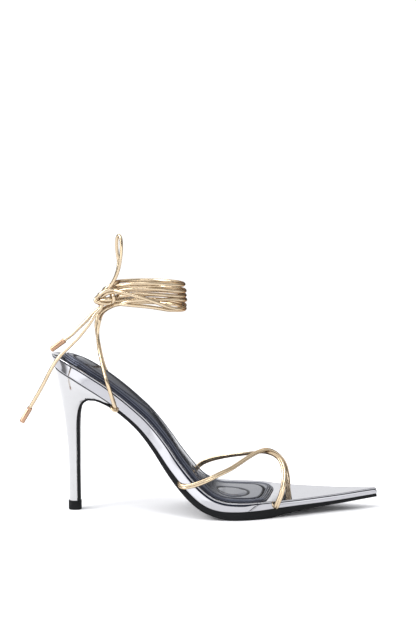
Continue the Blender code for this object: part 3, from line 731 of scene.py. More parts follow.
def mirror_wrap(finish):
    """Foil-coated synthetic leather, wrapped and rolled over the board: a mirror with a cool cast."""
    return mirror_finish("mirror_silver_foil_leather_wrapped", finish.silver_wrap, 0.05, 0.07)


def plated_heel(finish):
    """Moulded heel with a bright plated coat: an even mirror, lighter than the wrap."""
    return mirror_finish("plated_silver_moulded_heel", finish.silver_heel, 0.03, 0.1)


def padded_leather(finish):
    """Black padded leather: fine pebble grain, satin, with painted shade that makes its pressed lines
    nearly black and a painted highlight on its edge beads.
    """
    made, tree = empty_material("black_leather_padded_satin")
    place = add_node(tree, "ShaderNodeTexCoord").outputs["Object"]
    # the real grain, 0.4 mm with pores of 0.1 mm, is drawn coarser so that it shows
    pebble = add_node(tree, "ShaderNodeTexVoronoi", {"Vector": place, "Scale": per_mm(1.2)})
    pore = add_node(tree, "ShaderNodeTexNoise", {"Vector": place, "Scale": per_mm(0.7), "Detail": 2.0})
    cloud = add_node(tree, "ShaderNodeTexNoise", {"Vector": place, "Scale": per_mm(9.0), "Detail": 3.0})
    body = add_node(tree, "ShaderNodeMix", {
        "Factor": cloud.outputs["Fac"], 6: (*finish.sock_leather, 1.0),
        7: (*[c * 1.8 + 0.002 for c in finish.sock_leather], 1.0),
    }, data_type="RGBA")
    # painted highlight: the raised beads along the edge are lightened toward grey
    painted_bead_highlight = add_node(tree, "ShaderNodeAttribute", attribute_name="painted_bead_highlight")
    highlighted_leather = add_node(tree, "ShaderNodeMix", {
        "Factor": painted_bead_highlight.outputs["Fac"], 6: body.outputs[2], 7: (*linear("#5E626E"), 1.0),
    }, data_type="RGBA")
    # painted shade: the pressed lines turn nearly black
    shown, crease = painted_crease_shade_mix(tree, highlighted_leather.outputs[2], "#08080B")
    rough = add_node(tree, "ShaderNodeMapRange", {
        "Value": cloud.outputs["Fac"], "From Min": 0.3, "From Max": 0.7, "To Min": 0.12, "To Max": 0.2,
    })
    dull = add_node(tree, "ShaderNodeMath", {0: crease, 1: 0.25, 2: rough.outputs["Result"]},
                    operation="MULTIPLY_ADD")
    shine = add_node(tree, "ShaderNodeMapRange", {"Value": crease, "To Min": 0.8, "To Max": 0.06})
    grain = add_node(tree, "ShaderNodeBump", {
        "Strength": 0.14, "Distance": 0.06 * MM, "Height": pebble.outputs["Distance"],
    })
    fine = add_node(tree, "ShaderNodeBump", {
        "Strength": 0.08, "Distance": 0.03 * MM, "Height": pore.outputs["Fac"],
        "Normal": grain.outputs["Normal"],
    })
    shader = add_node(tree, "ShaderNodeBsdfPrincipled", {
        "Base Color": shown, "Roughness": dull.outputs["Value"], "IOR": 1.5,
        "Specular IOR Level": shine.outputs["Result"], "Specular Tint": (*linear("#CBD4F2"), 1.0),
        "Normal": fine.outputs["Normal"],
    })
    add_node(tree, "ShaderNodeOutputMaterial", {"Surface": shader.outputs["BSDF"]})
    return made


def moulded_rubber(finish):
    """Black rubber sheet and lift: near black, even satin, with a fine ground texture at its edges."""
    made, tree = empty_material("black_rubber_moulded_satin")
    place = add_node(tree, "ShaderNodeTexCoord").outputs["Object"]
    # the marks of a ground edge, about 0.2 mm, are drawn coarser so that they show
    grit = add_node(tree, "ShaderNodeTexNoise", {"Vector": place, "Scale": per_mm(0.8), "Detail": 3.0})
    patch = add_node(tree, "ShaderNodeTexNoise", {"Vector": place, "Scale": per_mm(12.0), "Detail": 2.0})
    body = add_node(tree, "ShaderNodeMix", {
        "Factor": patch.outputs["Fac"], 6: (*finish.rubber, 1.0),
        7: (*[c * 1.7 + 0.001 for c in finish.rubber], 1.0),
    }, data_type="RGBA")
    rough = add_node(tree, "ShaderNodeMapRange", {
        "Value": patch.outputs["Fac"], "From Min": 0.3, "From Max": 0.7, "To Min": 0.45, "To Max": 0.58,
    })
    ground = add_node(tree, "ShaderNodeBump", {
        "Strength": 0.15, "Distance": 0.04 * MM, "Height": grit.outputs["Fac"],
    })
    shader = add_node(tree, "ShaderNodeBsdfPrincipled", {
        "Base Color": body.outputs[2], "Roughness": rough.outputs["Result"], "IOR": 1.52,
        "Specular IOR Level": 0.13, "Normal": ground.outputs["Normal"],
    })
    add_node(tree, "ShaderNodeOutputMaterial", {"Surface": shader.outputs["BSDF"]})
    return made


def gold_cord(finish):
    """Gold foil on a round cord: pale champagne, glossy, with faint creases across the cord."""
    made, tree = empty_material("gold_foil_cord_smooth")
    place = add_node(tree, "ShaderNodeTexCoord").outputs["Object"]
    tone = add_node(tree, "ShaderNodeTexNoise", {"Vector": place, "Scale": per_mm(6.0), "Detail": 2.0})
    along = add_node(tree, "ShaderNodeAttribute", attribute_name="along")
    crease = add_node(tree, "ShaderNodeTexNoise", {
        "W": along.outputs["Fac"], "Scale": per_mm(1.4), "Detail": 2.0,
    }, noise_dimensions="1D")
    body = add_node(tree, "ShaderNodeMix", {
        "Factor": tone.outputs["Fac"], 6: (*finish.gold, 1.0),
        7: (finish.gold[0] * 0.93, finish.gold[1] * 0.87, finish.gold[2] * 0.76, 1.0),
    }, data_type="RGBA")
    rough = add_node(tree, "ShaderNodeMapRange", {
        "Value": crease.outputs["Fac"], "From Min": 0.3, "From Max": 0.7, "To Min": 0.1, "To Max": 0.17,
    })
    folds = add_node(tree, "ShaderNodeBump", {
        "Strength": 0.025, "Distance": 0.08 * MM, "Height": crease.outputs["Fac"],
    })
    shader = add_node(tree, "ShaderNodeBsdfPrincipled", {
        "Base Color": body.outputs[2], "Metallic": 0.86, "Roughness": rough.outputs["Result"],
        "Specular Tint": (*linear("#8A5A28"), 1.0), "Normal": folds.outputs["Normal"],
    })
    add_node(tree, "ShaderNodeOutputMaterial", {"Surface": shader.outputs["BSDF"]})
    return made


def peach_metal(finish):
    """Rolled tips of peach-gold plated metal: warm, lightly brushed."""
    made, tree = empty_material("peach_gold_metal_rolled")
    place = add_node(tree, "ShaderNodeTexCoord").outputs["Object"]
    # brush marks, about 0.1 mm, are drawn coarser so that they show
    brushed = add_node(tree, "ShaderNodeTexNoise", {
        "Vector": place, "Scale": per_mm(0.8), "Detail": 2.0,
    })
    rough = add_node(tree, "ShaderNodeMapRange", {
        "Value": brushed.outputs["Fac"], "From Min": 0.3, "From Max": 0.7,
        "To Min": 0.26, "To Max": 0.36,
    })
    body = add_node(tree, "ShaderNodeMix", {
        "Factor": brushed.outputs["Fac"], 6: (*finish.peach, 1.0),
        7: (*[c * 0.88 for c in finish.peach], 1.0),
    }, data_type="RGBA")
    lines = add_node(tree, "ShaderNodeBump", {
        "Strength": 0.06, "Distance": 0.05 * MM, "Height": brushed.outputs["Fac"],
    })
    shader = add_node(tree, "ShaderNodeBsdfPrincipled", {
        "Base Color": body.outputs[2], "Metallic": 1.0, "Roughness": rough.outputs["Result"],
        "Normal": lines.outputs["Normal"],
    })
    add_node(tree, "ShaderNodeOutputMaterial", {"Surface": shader.outputs["BSDF"]})
    return made


def matte_floor(finish):
    """Painted studio floor: matte and nearly white."""
    made, tree = empty_material("painted_floor_matte")
    place = add_node(tree, "ShaderNodeTexCoord").outputs["Object"]
    speck = add_node(tree, "ShaderNodeTexNoise", {"Vector": place, "Scale": per_mm(60.0), "Detail": 2.0})
    body = add_node(tree, "ShaderNodeMix", {
        "Factor": speck.outputs["Fac"], 6: (*finish.floor, 1.0),
        7: (*[c * 0.99 for c in finish.floor], 1.0),
    }, data_type="RGBA")
    shader = add_node(tree, "ShaderNodeBsdfPrincipled", {
        "Base Color": body.outputs[2], "Roughness": 0.9, "Specular IOR Level": 0.1,
    })
    add_node(tree, "ShaderNodeOutputMaterial", {"Surface": shader.outputs["BSDF"]})
    return made


LOOKS = {}


def look(maker):
    """The material that a maker function gives, made once."""
    if maker.__name__ not in LOOKS:
        LOOKS[maker.__name__] = maker(bpy.context.scene.sandal.finish)
    return LOOKS[maker.__name__]


def outline_loop(table, s):
    """Closed loop of s and y, with its outward normals.

    It runs forward along the lateral edge and back along the medial one.
    """
    lateral = np.stack([s, edge(table, 1, s)], axis=1)
    medial = np.stack([s, edge(table, 2, s)], axis=1)
    loop = np.concatenate([lateral, medial[-2:0:-1]])
    along = unit(np.roll(loop, -1, axis=0) - np.roll(loop, 1, axis=0))
    return loop, np.stack([along[:, 1], -along[:, 0]], axis=1)


def crease_width(s):
    """Width of the crease under the rim: widest from the arch to the wrap seam, fine at the toe."""
    arch = eased((s - 80) / 40) * (1 - eased((s - 166) / 10))
    toe = eased((s - 176) / 4)
    return 0.75 + 0.75 * arch - 0.2 * toe


def rim_profile(sizes):
    """Side of the wrapped board, from its underside to its top.

    Each row is out, share of the height, lift, share of the crease's width, darkness of the painted shade
    in the crease.
    """
    r = sizes.edge_radius
    rim = sizes.rim_radius
    deep = sizes.groove_depth
    low = -1.75 * rim
    hollow = 0.08
    rows = [(-3.0, 0.0, 0.0, 0, 0)]
    # lower edge
    turns = np.radians(np.linspace(0, 90, 6))
    rows += [(r * math.sin(a) - r, 0.0, r - r * math.cos(a), 0, 0) for a in turns]
    # side
    shares = np.linspace(0.08, 1, 9)
    rows += [(-hollow * (2 * t - 1) ** 2 * t, t, r * (1 - t) + low * t, -t, 0) for t in shares]
    # crease
    # crease, darkened with painted shade
    rows += [
        (-0.3 * deep - hollow, 1.0, low, -0.96, 0.4), (-0.8 * deep, 1.0, low, -0.8, 1),
        (-deep, 1.0, low, -0.5, 1), (-0.9 * deep, 1.0, low, -0.2, 1), (-0.5 * deep, 1.0, low, -0.04, 0.7),
    ]
    # rim, and the start of the top
    turns = np.radians(np.linspace(-42, 90, 12))
    rows += [(rim * math.cos(a) - rim, 1.0, rim * math.sin(a) - rim, 0, 0) for a in turns]
    rows += [(-1.4 * rim, 1.0, -0.02, 0, 0), (-2.0 * rim, 1.0, -0.06, 0, 0)]
    return rows


def seam_overlap(s, share, step):
    """Extra thickness where the toe's wrap lies over the arch's, with a raised lip."""
    past = s - smooth(SEAM_TABLE, 1, share)
    lip = 0.22 * bell(past - 0.6, 0.5)
    return step * eased(past / 0.5) * (1 - eased((past - 8) / 30)) + lip


def seam_shade(s, share):
    """Painted shade: darkness of the two fine lines along the seam's lip."""
    past = s - smooth(SEAM_TABLE, 1, share)
    return 0.8 * bell(past + 0.35, 0.35) + 0.5 * bell(past - 1.5, 0.35)


def toe_bulge(s, share):
    """How far the upper half of the toe's side leans in, which turns it to the darker room."""
    return 0.14 * eased((s - 186) / 16) * np.clip((share - 0.3) / 0.7, 0.0, 1.0) ** 2


def fold_shade(s, share):
    """Painted shade: darkness of the fold line along the toe's side, and of the band over it."""
    line = 0.4 * bell(share - 0.6, 0.07)
    return eased((s - 184) / 10) * (line + 0.1 * eased((share - 0.6) / 0.08))


class SANDAL_OT_board(bpy.types.Operator):
    """Wrapped insole board with its rolled rim, crease and wrap seam"""

    bl_idname = "sandal.board"
    bl_label = "Wrapped board"

    def execute(self, context):
        sizes = in_mm(context.scene.sandal.board)
        spread = stations(HEEL_END, LENGTH, BOARD_STATIONS)
        marks = np.sort(np.concatenate([spread, np.arange(*SEAM_SPAN)]))
        half = len(marks)
        loop, outward = outline_loop(OUTLINE_TABLE, marks)
        count = len(loop)
        lateral = np.arange(count) < half
        rings = []
        shades = []
        for out, share, lift, part, dark in rim_profile(sizes):
            shown = np.full(count, float(dark))
            step = out
            if out > -SIDE_REACH:
                over = np.where(lateral, seam_overlap(loop[:, 0], share, sizes.seam_step), 0.0)
                step = (out - sizes.seam_step + over - toe_bulge(loop[:, 0], share))[:, None]
                shown = np.maximum(shown, np.where(lateral, seam_shade(loop[:, 0], share), 0.0))
            if 0.0 < share < 1.0:
                shown = np.maximum(shown, fold_shade(loop[:, 0], share))
            flat = loop + outward * step
            s = np.clip(flat[:, 0], HEEL_END, LENGTH)
            low, high = board_layer(s)
            height = low + share * (high - low) + lift + part * crease_width(s)
            rings.append(on_shoe(s, flat[:, 1], height))
            shades.append(shown)
        build = bmesh.new()
        shade = build.verts.layers.float.new("crease")
        rows = add_rings(build, rings, closed_ends=False)
        # painted shade: the crease, the seam's lines and the toe's fold are stored darker
        store_on(rows, shade, shades)
        for row in (rows[0], rows[-1]):
            for i in range(half - 1):
                corners = [row[i], row[i + 1], row[-(i + 1) % count], row[-i % count]]
                build.faces.new(list(dict.fromkeys(corners)))
        piece = finished_piece("board_wrap", build, look(mirror_wrap))
        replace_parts(piece, "insole_board")
        return {"FINISHED"}


class SANDAL_OT_sock(bpy.types.Operator):
    """Padded sock with its pressed lines, heel pad and ball oval"""

    bl_idname = "sandal.sock"
    bl_label = "Padded sock"

    def execute(self, context):
        sizes = in_mm(context.scene.sandal.sock)
        first = SOCK_TABLE[0][0]
        last = SOCK_TABLE[-1][0]
        s = stations(first, last, SOCK_STATIONS)
        lat = edge(SOCK_TABLE, 1, s)
        med = edge(SOCK_TABLE, 2, s)
        wide = (med - lat)[:, None]
        roll = np.minimum(sizes.edge_roll, wide / 3)
        rim = roll * (1 - np.cos(np.linspace(0, np.pi / 2, SOCK_EDGE_POINTS)))
        middle = roll + (wide - 2 * roll) * np.linspace(0, 1, SOCK_MIDDLE_POINTS)[1:-1]
        y = lat[:, None] + np.concatenate([rim, middle, (wide - rim)[:, ::-1]], axis=1)
        flat = np.stack([np.broadcast_to(s[:, None], y.shape), y], axis=2).reshape(-1, 2)
        side = (2 * y - (lat + med)[:, None]) / np.maximum(wide, 1e-6)
        thick = smooth(SOCK_TABLE, 3, s) + GAP - SOCK_LIFT
        crown = smooth(SOCK_TABLE, 4, s) * np.clip((med - lat) / 20, 0.0, 1.0)
        outline = outline_loop(SOCK_TABLE, stations(first, last, SOCK_OUTLINE_STATIONS))[0]
        inset = np.maximum(distance_to(flat, outline), 0.0)
        rise, lines = self.pressed(flat, sizes)
        height = (thick[:, None] + crown[:, None] * (1 - side ** 2)).ravel() + rise
        round_in = np.clip(inset / sizes.edge_roll, 0.0, 1.0)
        height = height * np.sqrt(1 - (1 - round_in) ** 2)
        climb = np.hypot(inset, height)
        beads = np.zeros(len(flat))
        for place, depth in EDGE_LINES:
            lines = np.maximum(lines, depth * bell(climb - place, 0.7 * sizes.line_width))
            beads += 0.9 * depth * bell(climb - place - BEAD_OFFSET, 0.8 * sizes.line_width)
        points = on_shoe(flat[:, 0], flat[:, 1], board_top(flat[:, 0]) + SOCK_LIFT + height)
        grid = points.reshape(*y.shape, 3)
        normal = np.cross(np.gradient(grid, axis=0), np.gradient(grid, axis=1)).reshape(-1, 3)
        normal /= np.maximum(np.linalg.norm(normal, axis=1), 1e-12)[:, None]
        # the lines fade out where the sock is thin
        held = np.clip(height / 0.8, 0.0, 1.0)
        points = points + normal * (sizes.line_depth * (beads - lines) * held)[:, None]
        build = bmesh.new()
        for name in ("crease", "painted_bead_highlight"):
            build.verts.layers.float.new(name)
        rows = add_rings(build, points.reshape(*y.shape, 3), closed_ends=False)
        # painted shade in the pressed lines
        store_on(rows, build.verts.layers.float["crease"], lines.reshape(y.shape))
        # painted highlight on the raised beads
        store_on(rows, build.verts.layers.float["painted_bead_highlight"], (beads * held).reshape(y.shape))
        piece = finished_piece("sock_pad", build, look(padded_leather), crease=70.0)
        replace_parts(piece, "sock")
        return {"FINISHED"}

    def pressed(self, flat, sizes):
        """Height that the pads add, and how deep the lines round them are pressed."""
        heel = distance_to(flat, closed_path(HEEL_PAD, PAD_SPACING))
        panel = distance_to(flat, closed_path(FOREFOOT_PANEL, PAD_SPACING))
        centre_s, centre_y, half_s, half_y = BALL_OVAL
        turn = np.linspace(0, 2 * np.pi, 120, endpoint=False)
        ring = np.stack([centre_s + half_s * np.cos(turn), centre_y + half_y * np.sin(turn)], axis=1)
        oval = distance_to(flat, ring)
        rise = sizes.pad_rise * eased(heel / 3.2) + PANEL_RISE * eased(panel / 2.0)
        rise += sizes.oval_rise * eased(oval / 5.0)
        lines = np.zeros(len(flat))
        # each outline, and its line's share of the full depth
        for distance, depth in ((heel, 1.2), (panel, 1.6), (oval, 1.1)):
            lines = np.maximum(lines, depth * bell(distance, 1.4 * sizes.line_width))
        return rise, lines


def slab_section(lat, med, low, high, radii, across=6):
    """Section of a sheet from its lateral to its medial edge, as y and height, with round corners."""
    width = med - lat
    depth = high - low
    low_r, high_r = (min(radius, CORNER_SHARE * width, CORNER_SHARE * depth) for radius in radii)
    shares = np.linspace(0, 1, across + 2)[1:-1]
    ring = [(lat + low_r + (width - 2 * low_r) * t, low) for t in shares]
    corners = (
        (med - low_r, low + low_r, low_r, -90), (med - high_r, high - high_r, high_r, 0),
        (lat + high_r, high - high_r, high_r, 90), (lat + low_r, low + low_r, low_r, 180),
    )
    for k, (y, n, radius, start) in enumerate(corners):
        if k == 2:
            ring += [(med - high_r - (width - 2 * high_r) * t, high) for t in shares]
        angles = np.radians(np.linspace(start, start + 90, 6))
        ring += [(y + radius * math.cos(a), n + radius * math.sin(a)) for a in angles]
    return np.array(ring)


def breast_rows():
    """Outer face of the flap, with the direction that points into the heel."""
    rows = np.array(FLAP_TABLE, float)
    start = on_shoe(BREAST_ARC, 0.0, -GAP - float(smooth(LAYER_TABLE, 1, BREAST_ARC)))[[0, 2]]
    run = np.concatenate([[0], np.cumsum(np.linalg.norm(np.diff(rows[:, :2], axis=0), axis=1))])
    lead = float(np.hypot(*(rows[0, :2] - start)))
    keyed = np.column_stack([run + lead, rows])
    bend = np.linspace(lead, lead + FLAP_BEND, 40)
    fine = np.concatenate([bend, np.linspace(lead + FLAP_BEND + 1, lead + run[-1], 36)])
    cols = [smooth(keyed, k, fine) for k in range(1, 5)]
    path = np.stack(cols[:2], axis=1)
    along = unit(np.gradient(path, fine, axis=0))
    inward = np.stack([along[:, 1], -along[:, 0]], axis=1)
    inward[-1] = (-1.0, 0.0)
    return path, inward, cols[2], cols[3]


class SANDAL_OT_outsole(bpy.types.Operator):
    """Black outsole with its flap down the heel breast"""

    bl_idname = "sandal.outsole"
    bl_label = "Outsole"

    def execute(self, context):
        rings = []
        for s in stations(*OUTSOLE_ENDS, OUTSOLE_STATIONS)[::-1]:
            if s < BREAST_ARC:
                break
            lat = float(edge(OUTLINE_TABLE, 1, s)) + OUTSOLE_INSET
            med = float(edge(OUTLINE_TABLE, 2, s)) - OUTSOLE_INSET
            if med - lat < NARROWEST_TOE:
                middle = (lat + med) / 2
                lat = middle - NARROWEST_TOE / 2
                med = middle + NARROWEST_TOE / 2
            thick = float(smooth(LAYER_TABLE, 1, s))
            section = slab_section(lat, med, -GAP - thick, -OUTSOLE_DROP, OUTSOLE_CORNERS)
            ring = on_shoe(s, section[:, 0], section[:, 1])
            ring[:, 2] = np.maximum(ring[:, 2], 0.0)
            rings.append(ring)
        for p, n, h, t in zip(*breast_rows()):
            section = slab_section(-h, h, 0.0, t, FLAP_CORNERS)
            rings.append(np.stack([
                p[0] + section[:, 1] * n[0], section[:, 0], p[1] + section[:, 1] * n[1],
            ], axis=1))
        build = bmesh.new()
        add_rings(build, rings)
        piece = finished_piece("outsole_sheet", build, look(moulded_rubber))
        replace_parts(piece, "outsole")
        return {"FINISHED"}


def heel_widths(share, half, breast, seat):
    """Half widths on both sides at a share of the way from the heel's back to its breast."""
    back = np.minimum(share / HEEL_ROUND, 1.0)
    wide = half + (breast - half) * eased((share - BREAST_START) / BREAST_REACH)
    plain = wide * np.sqrt(np.clip(1 - (1 - back) ** 2, 0.0, None))
    s = HEEL_END + (SEAT_ARC - HEEL_END) * share
    lat = seat * np.maximum(-edge(OUTLINE_TABLE, 1, s) - SEAT_INSET, 0.0) + (1 - seat) * plain
    med = seat * np.maximum(edge(OUTLINE_TABLE, 2, s) - SEAT_INSET, 0.0) + (1 - seat) * plain
    return lat, med


class SANDAL_OT_heel(bpy.types.Operator):
    """Plated stiletto heel and the rubber lift under it"""

    bl_idname = "sandal.heel"
    bl_label = "Heel and top lift"

    def execute(self, context):
        shares = 1 - np.cos(np.linspace(0.0, np.pi / 2, HEEL_POINTS))
        keys = np.column_stack([np.arange(len(HEEL_TABLE)), np.array(HEEL_TABLE, float)])
        first = HEEL_END + 0.3
        seat_line = on_shoe(first + (SEAT_ARC - first) * shares, 0.0, -SEAT_DROP)
        bow = seat_line - seat_line[0] - (seat_line[-1] - seat_line[0]) * shares[:, None]
        levels = np.linspace(0, len(HEEL_TABLE) - 1, HEEL_LEVELS)
        rings = []
        for k in levels:
            row = [float(smooth(keys, column, k)) for column in range(1, 8)]
            back_x, back_z, front_x, front_z, half, breast, seat = row
            x = back_x + (front_x - back_x) * shares + seat * bow[:, 0]
            z = back_z + (front_z - back_z) * shares + seat * bow[:, 2]
            lat, med = heel_widths(shares, half, breast, seat)
            rings.append(np.concatenate([np.stack([x, -lat, z], 1), np.stack([x, med, z], 1)[::-1]]))
        build = bmesh.new()
        shade = build.verts.layers.float.new("crease")
        rows = add_rings(build, rings, closed_ends=False)
        # painted shade darkens the heel's top rows at the joint under the board
        store_on(rows, shade, np.maximum(0.0, 1 - 5 * levels))
        count = len(rows[0])
        for row in (rows[0], rows[-1]):
            for i in range(count // 2 - 1):
                build.faces.new((row[i], row[i + 1], row[count - 2 - i], row[count - 1 - i]))
        heel = finished_piece("stiletto_heel", build, look(plated_heel))
        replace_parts(heel, "heel")
        self.lift()
        return {"FINISHED"}

    def lift(self):
        """Top lift: a rounded block with a soft lower edge and a fine parting groove."""
        middle = (LIFT_BACK + LIFT_FRONT) / 2
        half = (LIFT_FRONT - LIFT_BACK) / 2
        turn = np.linspace(0, 2 * np.pi, 96, endpoint=False)
        x = np.sign(np.cos(turn)) * np.abs(np.cos(turn)) ** LIFT_POWER
        y = np.sign(np.sin(turn)) * np.abs(np.sin(turn)) ** LIFT_POWER
        top = LIFT_HEIGHT
        # height, how far the outline is drawn in
        levels = (
            (0.0, 0.6), (0.0, 0.28), (0.08, 0.12), (0.25, 0.03), (0.5, 0.0), (top - 1.75, 0.0),
            (top - 1.65, 0.05), (top - 1.55, 0.12), (top - 1.45, 0.05), (top - 1.35, 0.0),
            (top - 0.4, 0.02), (top - 0.15, 0.1), (top, 0.3), (top, 0.8),
        )
        rings = []
        for z, inset in levels:
            rings.append(np.stack([
                middle + (half - inset) * x, (LIFT_HALF_WIDTH - inset) * y, np.full(len(turn), z),
            ], axis=1))
        build = bmesh.new()
        add_rings(build, rings)
        piece = finished_piece("heel_top_lift", build, look(moulded_rubber))
        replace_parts(piece, "top_lift")


def strap_frame(path):
    """Direction along a strap, and the direction away from the foot, carried on round tight bends."""
    along = unit(np.gradient(path, axis=0))
    core = np.array(FOOT_CORE, float)
    radial = path.copy()
    radial[:, 0] = 0.0
    radial[:, 2] -= np.interp(path[:, 0], core[:, 0], core[:, 1])
    radial = unit(radial)
    outward = np.empty_like(path)
    middle = len(path) // 2
    for order in (range(middle, len(path)), range(middle, -1, -1)):
        held = radial[middle]
        for i in order:
            free = radial[i] - along[i] * (radial[i] @ along[i])
            held = unit(held - along[i] * (held @ along[i])) + FOOT_PULL * (free @ free) * free
            held = unit(held - along[i] * (held @ along[i]))
            outward[i] = held
    return along, outward


def strap_rings(path, lobe, pitch, spread):
    """Sections of a strap of two strands side by side, flat to the foot, along a path."""
    along, outward = strap_frame(path)
    across = np.cross(along, outward)
    rings = []
    radius = lobe / 2
    for p, out, side, wide in zip(path, outward, across, spread):
        middle = pitch / 2 * wide
        # each strand ends where it meets the other
        stop = math.acos(max(-0.98, -middle / radius))
        turn = np.linspace(-stop, stop, 17)
        first = np.stack([middle + radius * np.cos(turn), radius * np.sin(turn)], axis=1)
        section = np.concatenate([first, -first])
        rings.append(p + section[:, :1] * side + section[:, 1:] * out)
    return rings


class SANDAL_OT_toe_straps(bpy.types.Operator):
    """Two straps crossed over the toes, each of two gold strands side by side"""

    bl_idname = "sandal.toe_straps"
    bl_label = "Toe straps"

    def execute(self, context):
        sizes = in_mm(context.scene.sandal.lace)
        for name, route in (("toe_strap_upper", UPPER_STRAP), ("toe_strap_lower", LOWER_STRAP)):
            path = smooth_path(route, STRAP_SPACING)
            share = np.linspace(0, 1, len(path))
            # the strands part a little near both ends
            spread = 1 + 0.1 * eased((0.12 - share) / 0.1) + 0.1 * eased((share - 0.8) / 0.1)
            build = bmesh.new()
            along = build.verts.layers.float.new("along")
            rows = add_rings(build, strap_rings(path, sizes.lobe_diameter, sizes.strand_pitch, spread))
            store_on(rows, along, np.arange(len(rows)) * STRAP_SPACING * MM)
            piece = finished_piece(name, build, look(gold_cord), crease=50.0)
            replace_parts(piece, "toe_straps")
        return {"FINISHED"}


def cord_tree():
    """Geometry nodes that sweep a round cord along a path and remember the length along it."""
    found = bpy.data.node_groups.get("round_cord")
    if found:
        return found
    tree = bpy.data.node_groups.new("round_cord", "GeometryNodeTree")
    face = tree.interface
    face.new_socket("Path", in_out="INPUT", socket_type="NodeSocketGeometry")
    for name, kind in (("Cord radius", "NodeSocketFloat"), ("Sides", "NodeSocketInt"),
                       ("Finish", "NodeSocketMaterial")):
        face.new_socket(name, in_out="INPUT", socket_type=kind)
    face.new_socket("Cord", in_out="OUTPUT", socket_type="NodeSocketGeometry")
    given = add_node(tree, "NodeGroupInput")
    along = add_node(tree, "GeometryNodeSplineParameter")
    marked = add_node(tree, "GeometryNodeStoreNamedAttribute", {
        "Geometry": given.outputs["Path"], "Name": "along", "Value": along.outputs["Length"],
    }, data_type="FLOAT", domain="POINT")
    ring = add_node(tree, "GeometryNodeCurvePrimitiveCircle", {
        "Resolution": given.outputs["Sides"], "Radius": given.outputs["Cord radius"],
    })
    swept = add_node(tree, "GeometryNodeCurveToMesh", {
        "Curve": marked.outputs["Geometry"], "Profile Curve": ring.outputs["Curve"], "Fill Caps": True,
    })
    shaded = add_node(tree, "GeometryNodeSetShadeSmooth", {"Geometry": swept.outputs["Mesh"]})
    real = add_node(tree, "GeometryNodeRealizeInstances", {"Geometry": shaded.outputs["Geometry"]})
    dressed = add_node(tree, "GeometryNodeSetMaterial", {
        "Geometry": real.outputs["Geometry"], "Material": given.outputs["Finish"],
    })
    add_node(tree, "NodeGroupOutput", {"Cord": dressed.outputs["Geometry"]})
    return tree


def cord_mesh(name, paths, diameter):
    """Mesh of round gold cord along each path, in millimetres."""
    data = bpy.data.curves.new(name + "_path", "CURVE")
    data.dimensions = "3D"
    for path in paths:
        spline = data.splines.new("POLY")
        spline.points.add(len(path) - 1)
        for target, p in zip(spline.points, shifted(path)):
            target.co = (*p, 1.0)
    route = bpy.data.objects.new(name + "_path", data)
    bpy.context.scene.collection.objects.link(route)
    tree = cord_tree()
    change = route.modifiers.new("round_cord", "NODES")
    change.node_group = tree
    values = {"Cord radius": diameter / 2 * MM, "Sides": CORD_SIDES, "Finish": look(gold_cord)}
    for item in tree.interface.items_tree:
        if item.in_out == "INPUT" and item.name in values:
            change[item.identifier] = values[item.name]
    graph = bpy.context.evaluated_depsgraph_get()
    mesh = bpy.data.meshes.new_from_object(route.evaluated_get(graph))
    route.modifiers.clear()
    bpy.data.objects.remove(route)
    mesh.name = name
    if not len(mesh.polygons):
        raise RuntimeError("no cord was swept for " + name)
    build = bmesh.new()
    build.from_mesh(mesh)
    bmesh.ops.recalc_face_normals(build, faces=build.faces[:])
    build.to_mesh(mesh)
    build.free()
    shade_smooth(mesh, 60.0)
    return mesh


def cord_piece(name, paths, diameter):
    """Piece of round gold cord along each path, riding on the shoe."""
    return added_piece(name, cord_mesh(name, paths, diameter), look(gold_cord))


def round_ankle(angle, height, out):
    """Points on the lace's oval round the ankle."""
    turn = np.radians(angle)
    x = ANKLE_X - (ANKLE_RADIUS_X + out) * np.cos(turn)
    y = -(ANKLE_RADIUS_Y + out) * np.sin(turn)
    return np.stack([x, y, height], axis=-1)


def lace_path(riser, turns):
    """Riser and turns of one half of the lace as one smooth row of points."""
    first = turns[0][0]
    last = turns[-1][0]
    angles = np.linspace(first, last, int(abs(last - first) / ANKLE_STEP) + 1)
    wound = round_ankle(angles, smooth(turns, 1, angles), smooth(turns, 2, angles))
    return smooth_path(np.concatenate([np.array(riser, float), wound]), LACE_SPACING)


class SANDAL_OT_ankle_lace(bpy.types.Operator):
    """Risers, turns round the ankle and the keeper loops at the sole seam"""

    bl_idname = "sandal.ankle_lace"
    bl_label = "Ankle lace"

    def execute(self, context):
        sizes = in_mm(context.scene.sandal.lace)
        for name, riser, turns in (
            ("lace_lateral", LATERAL_RISER, LATERAL_TURNS), ("lace_medial", MEDIAL_RISER, MEDIAL_TURNS),
        ):
            piece = cord_piece(name, [lace_path(riser, turns)], sizes.lace_diameter)
            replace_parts(piece, "ankle_wraps")
        mirrored = [(x, -y, z + KEEPER_RISE) for x, y, z in KEEPER_LOOP]
        loops = [smooth_path(route, KEEPER_SPACING) for route in (KEEPER_LOOP, mirrored)]
        cord_piece("lace_keepers", loops, KEEPER_SHARE * sizes.lace_diameter)
        return {"FINISHED"}


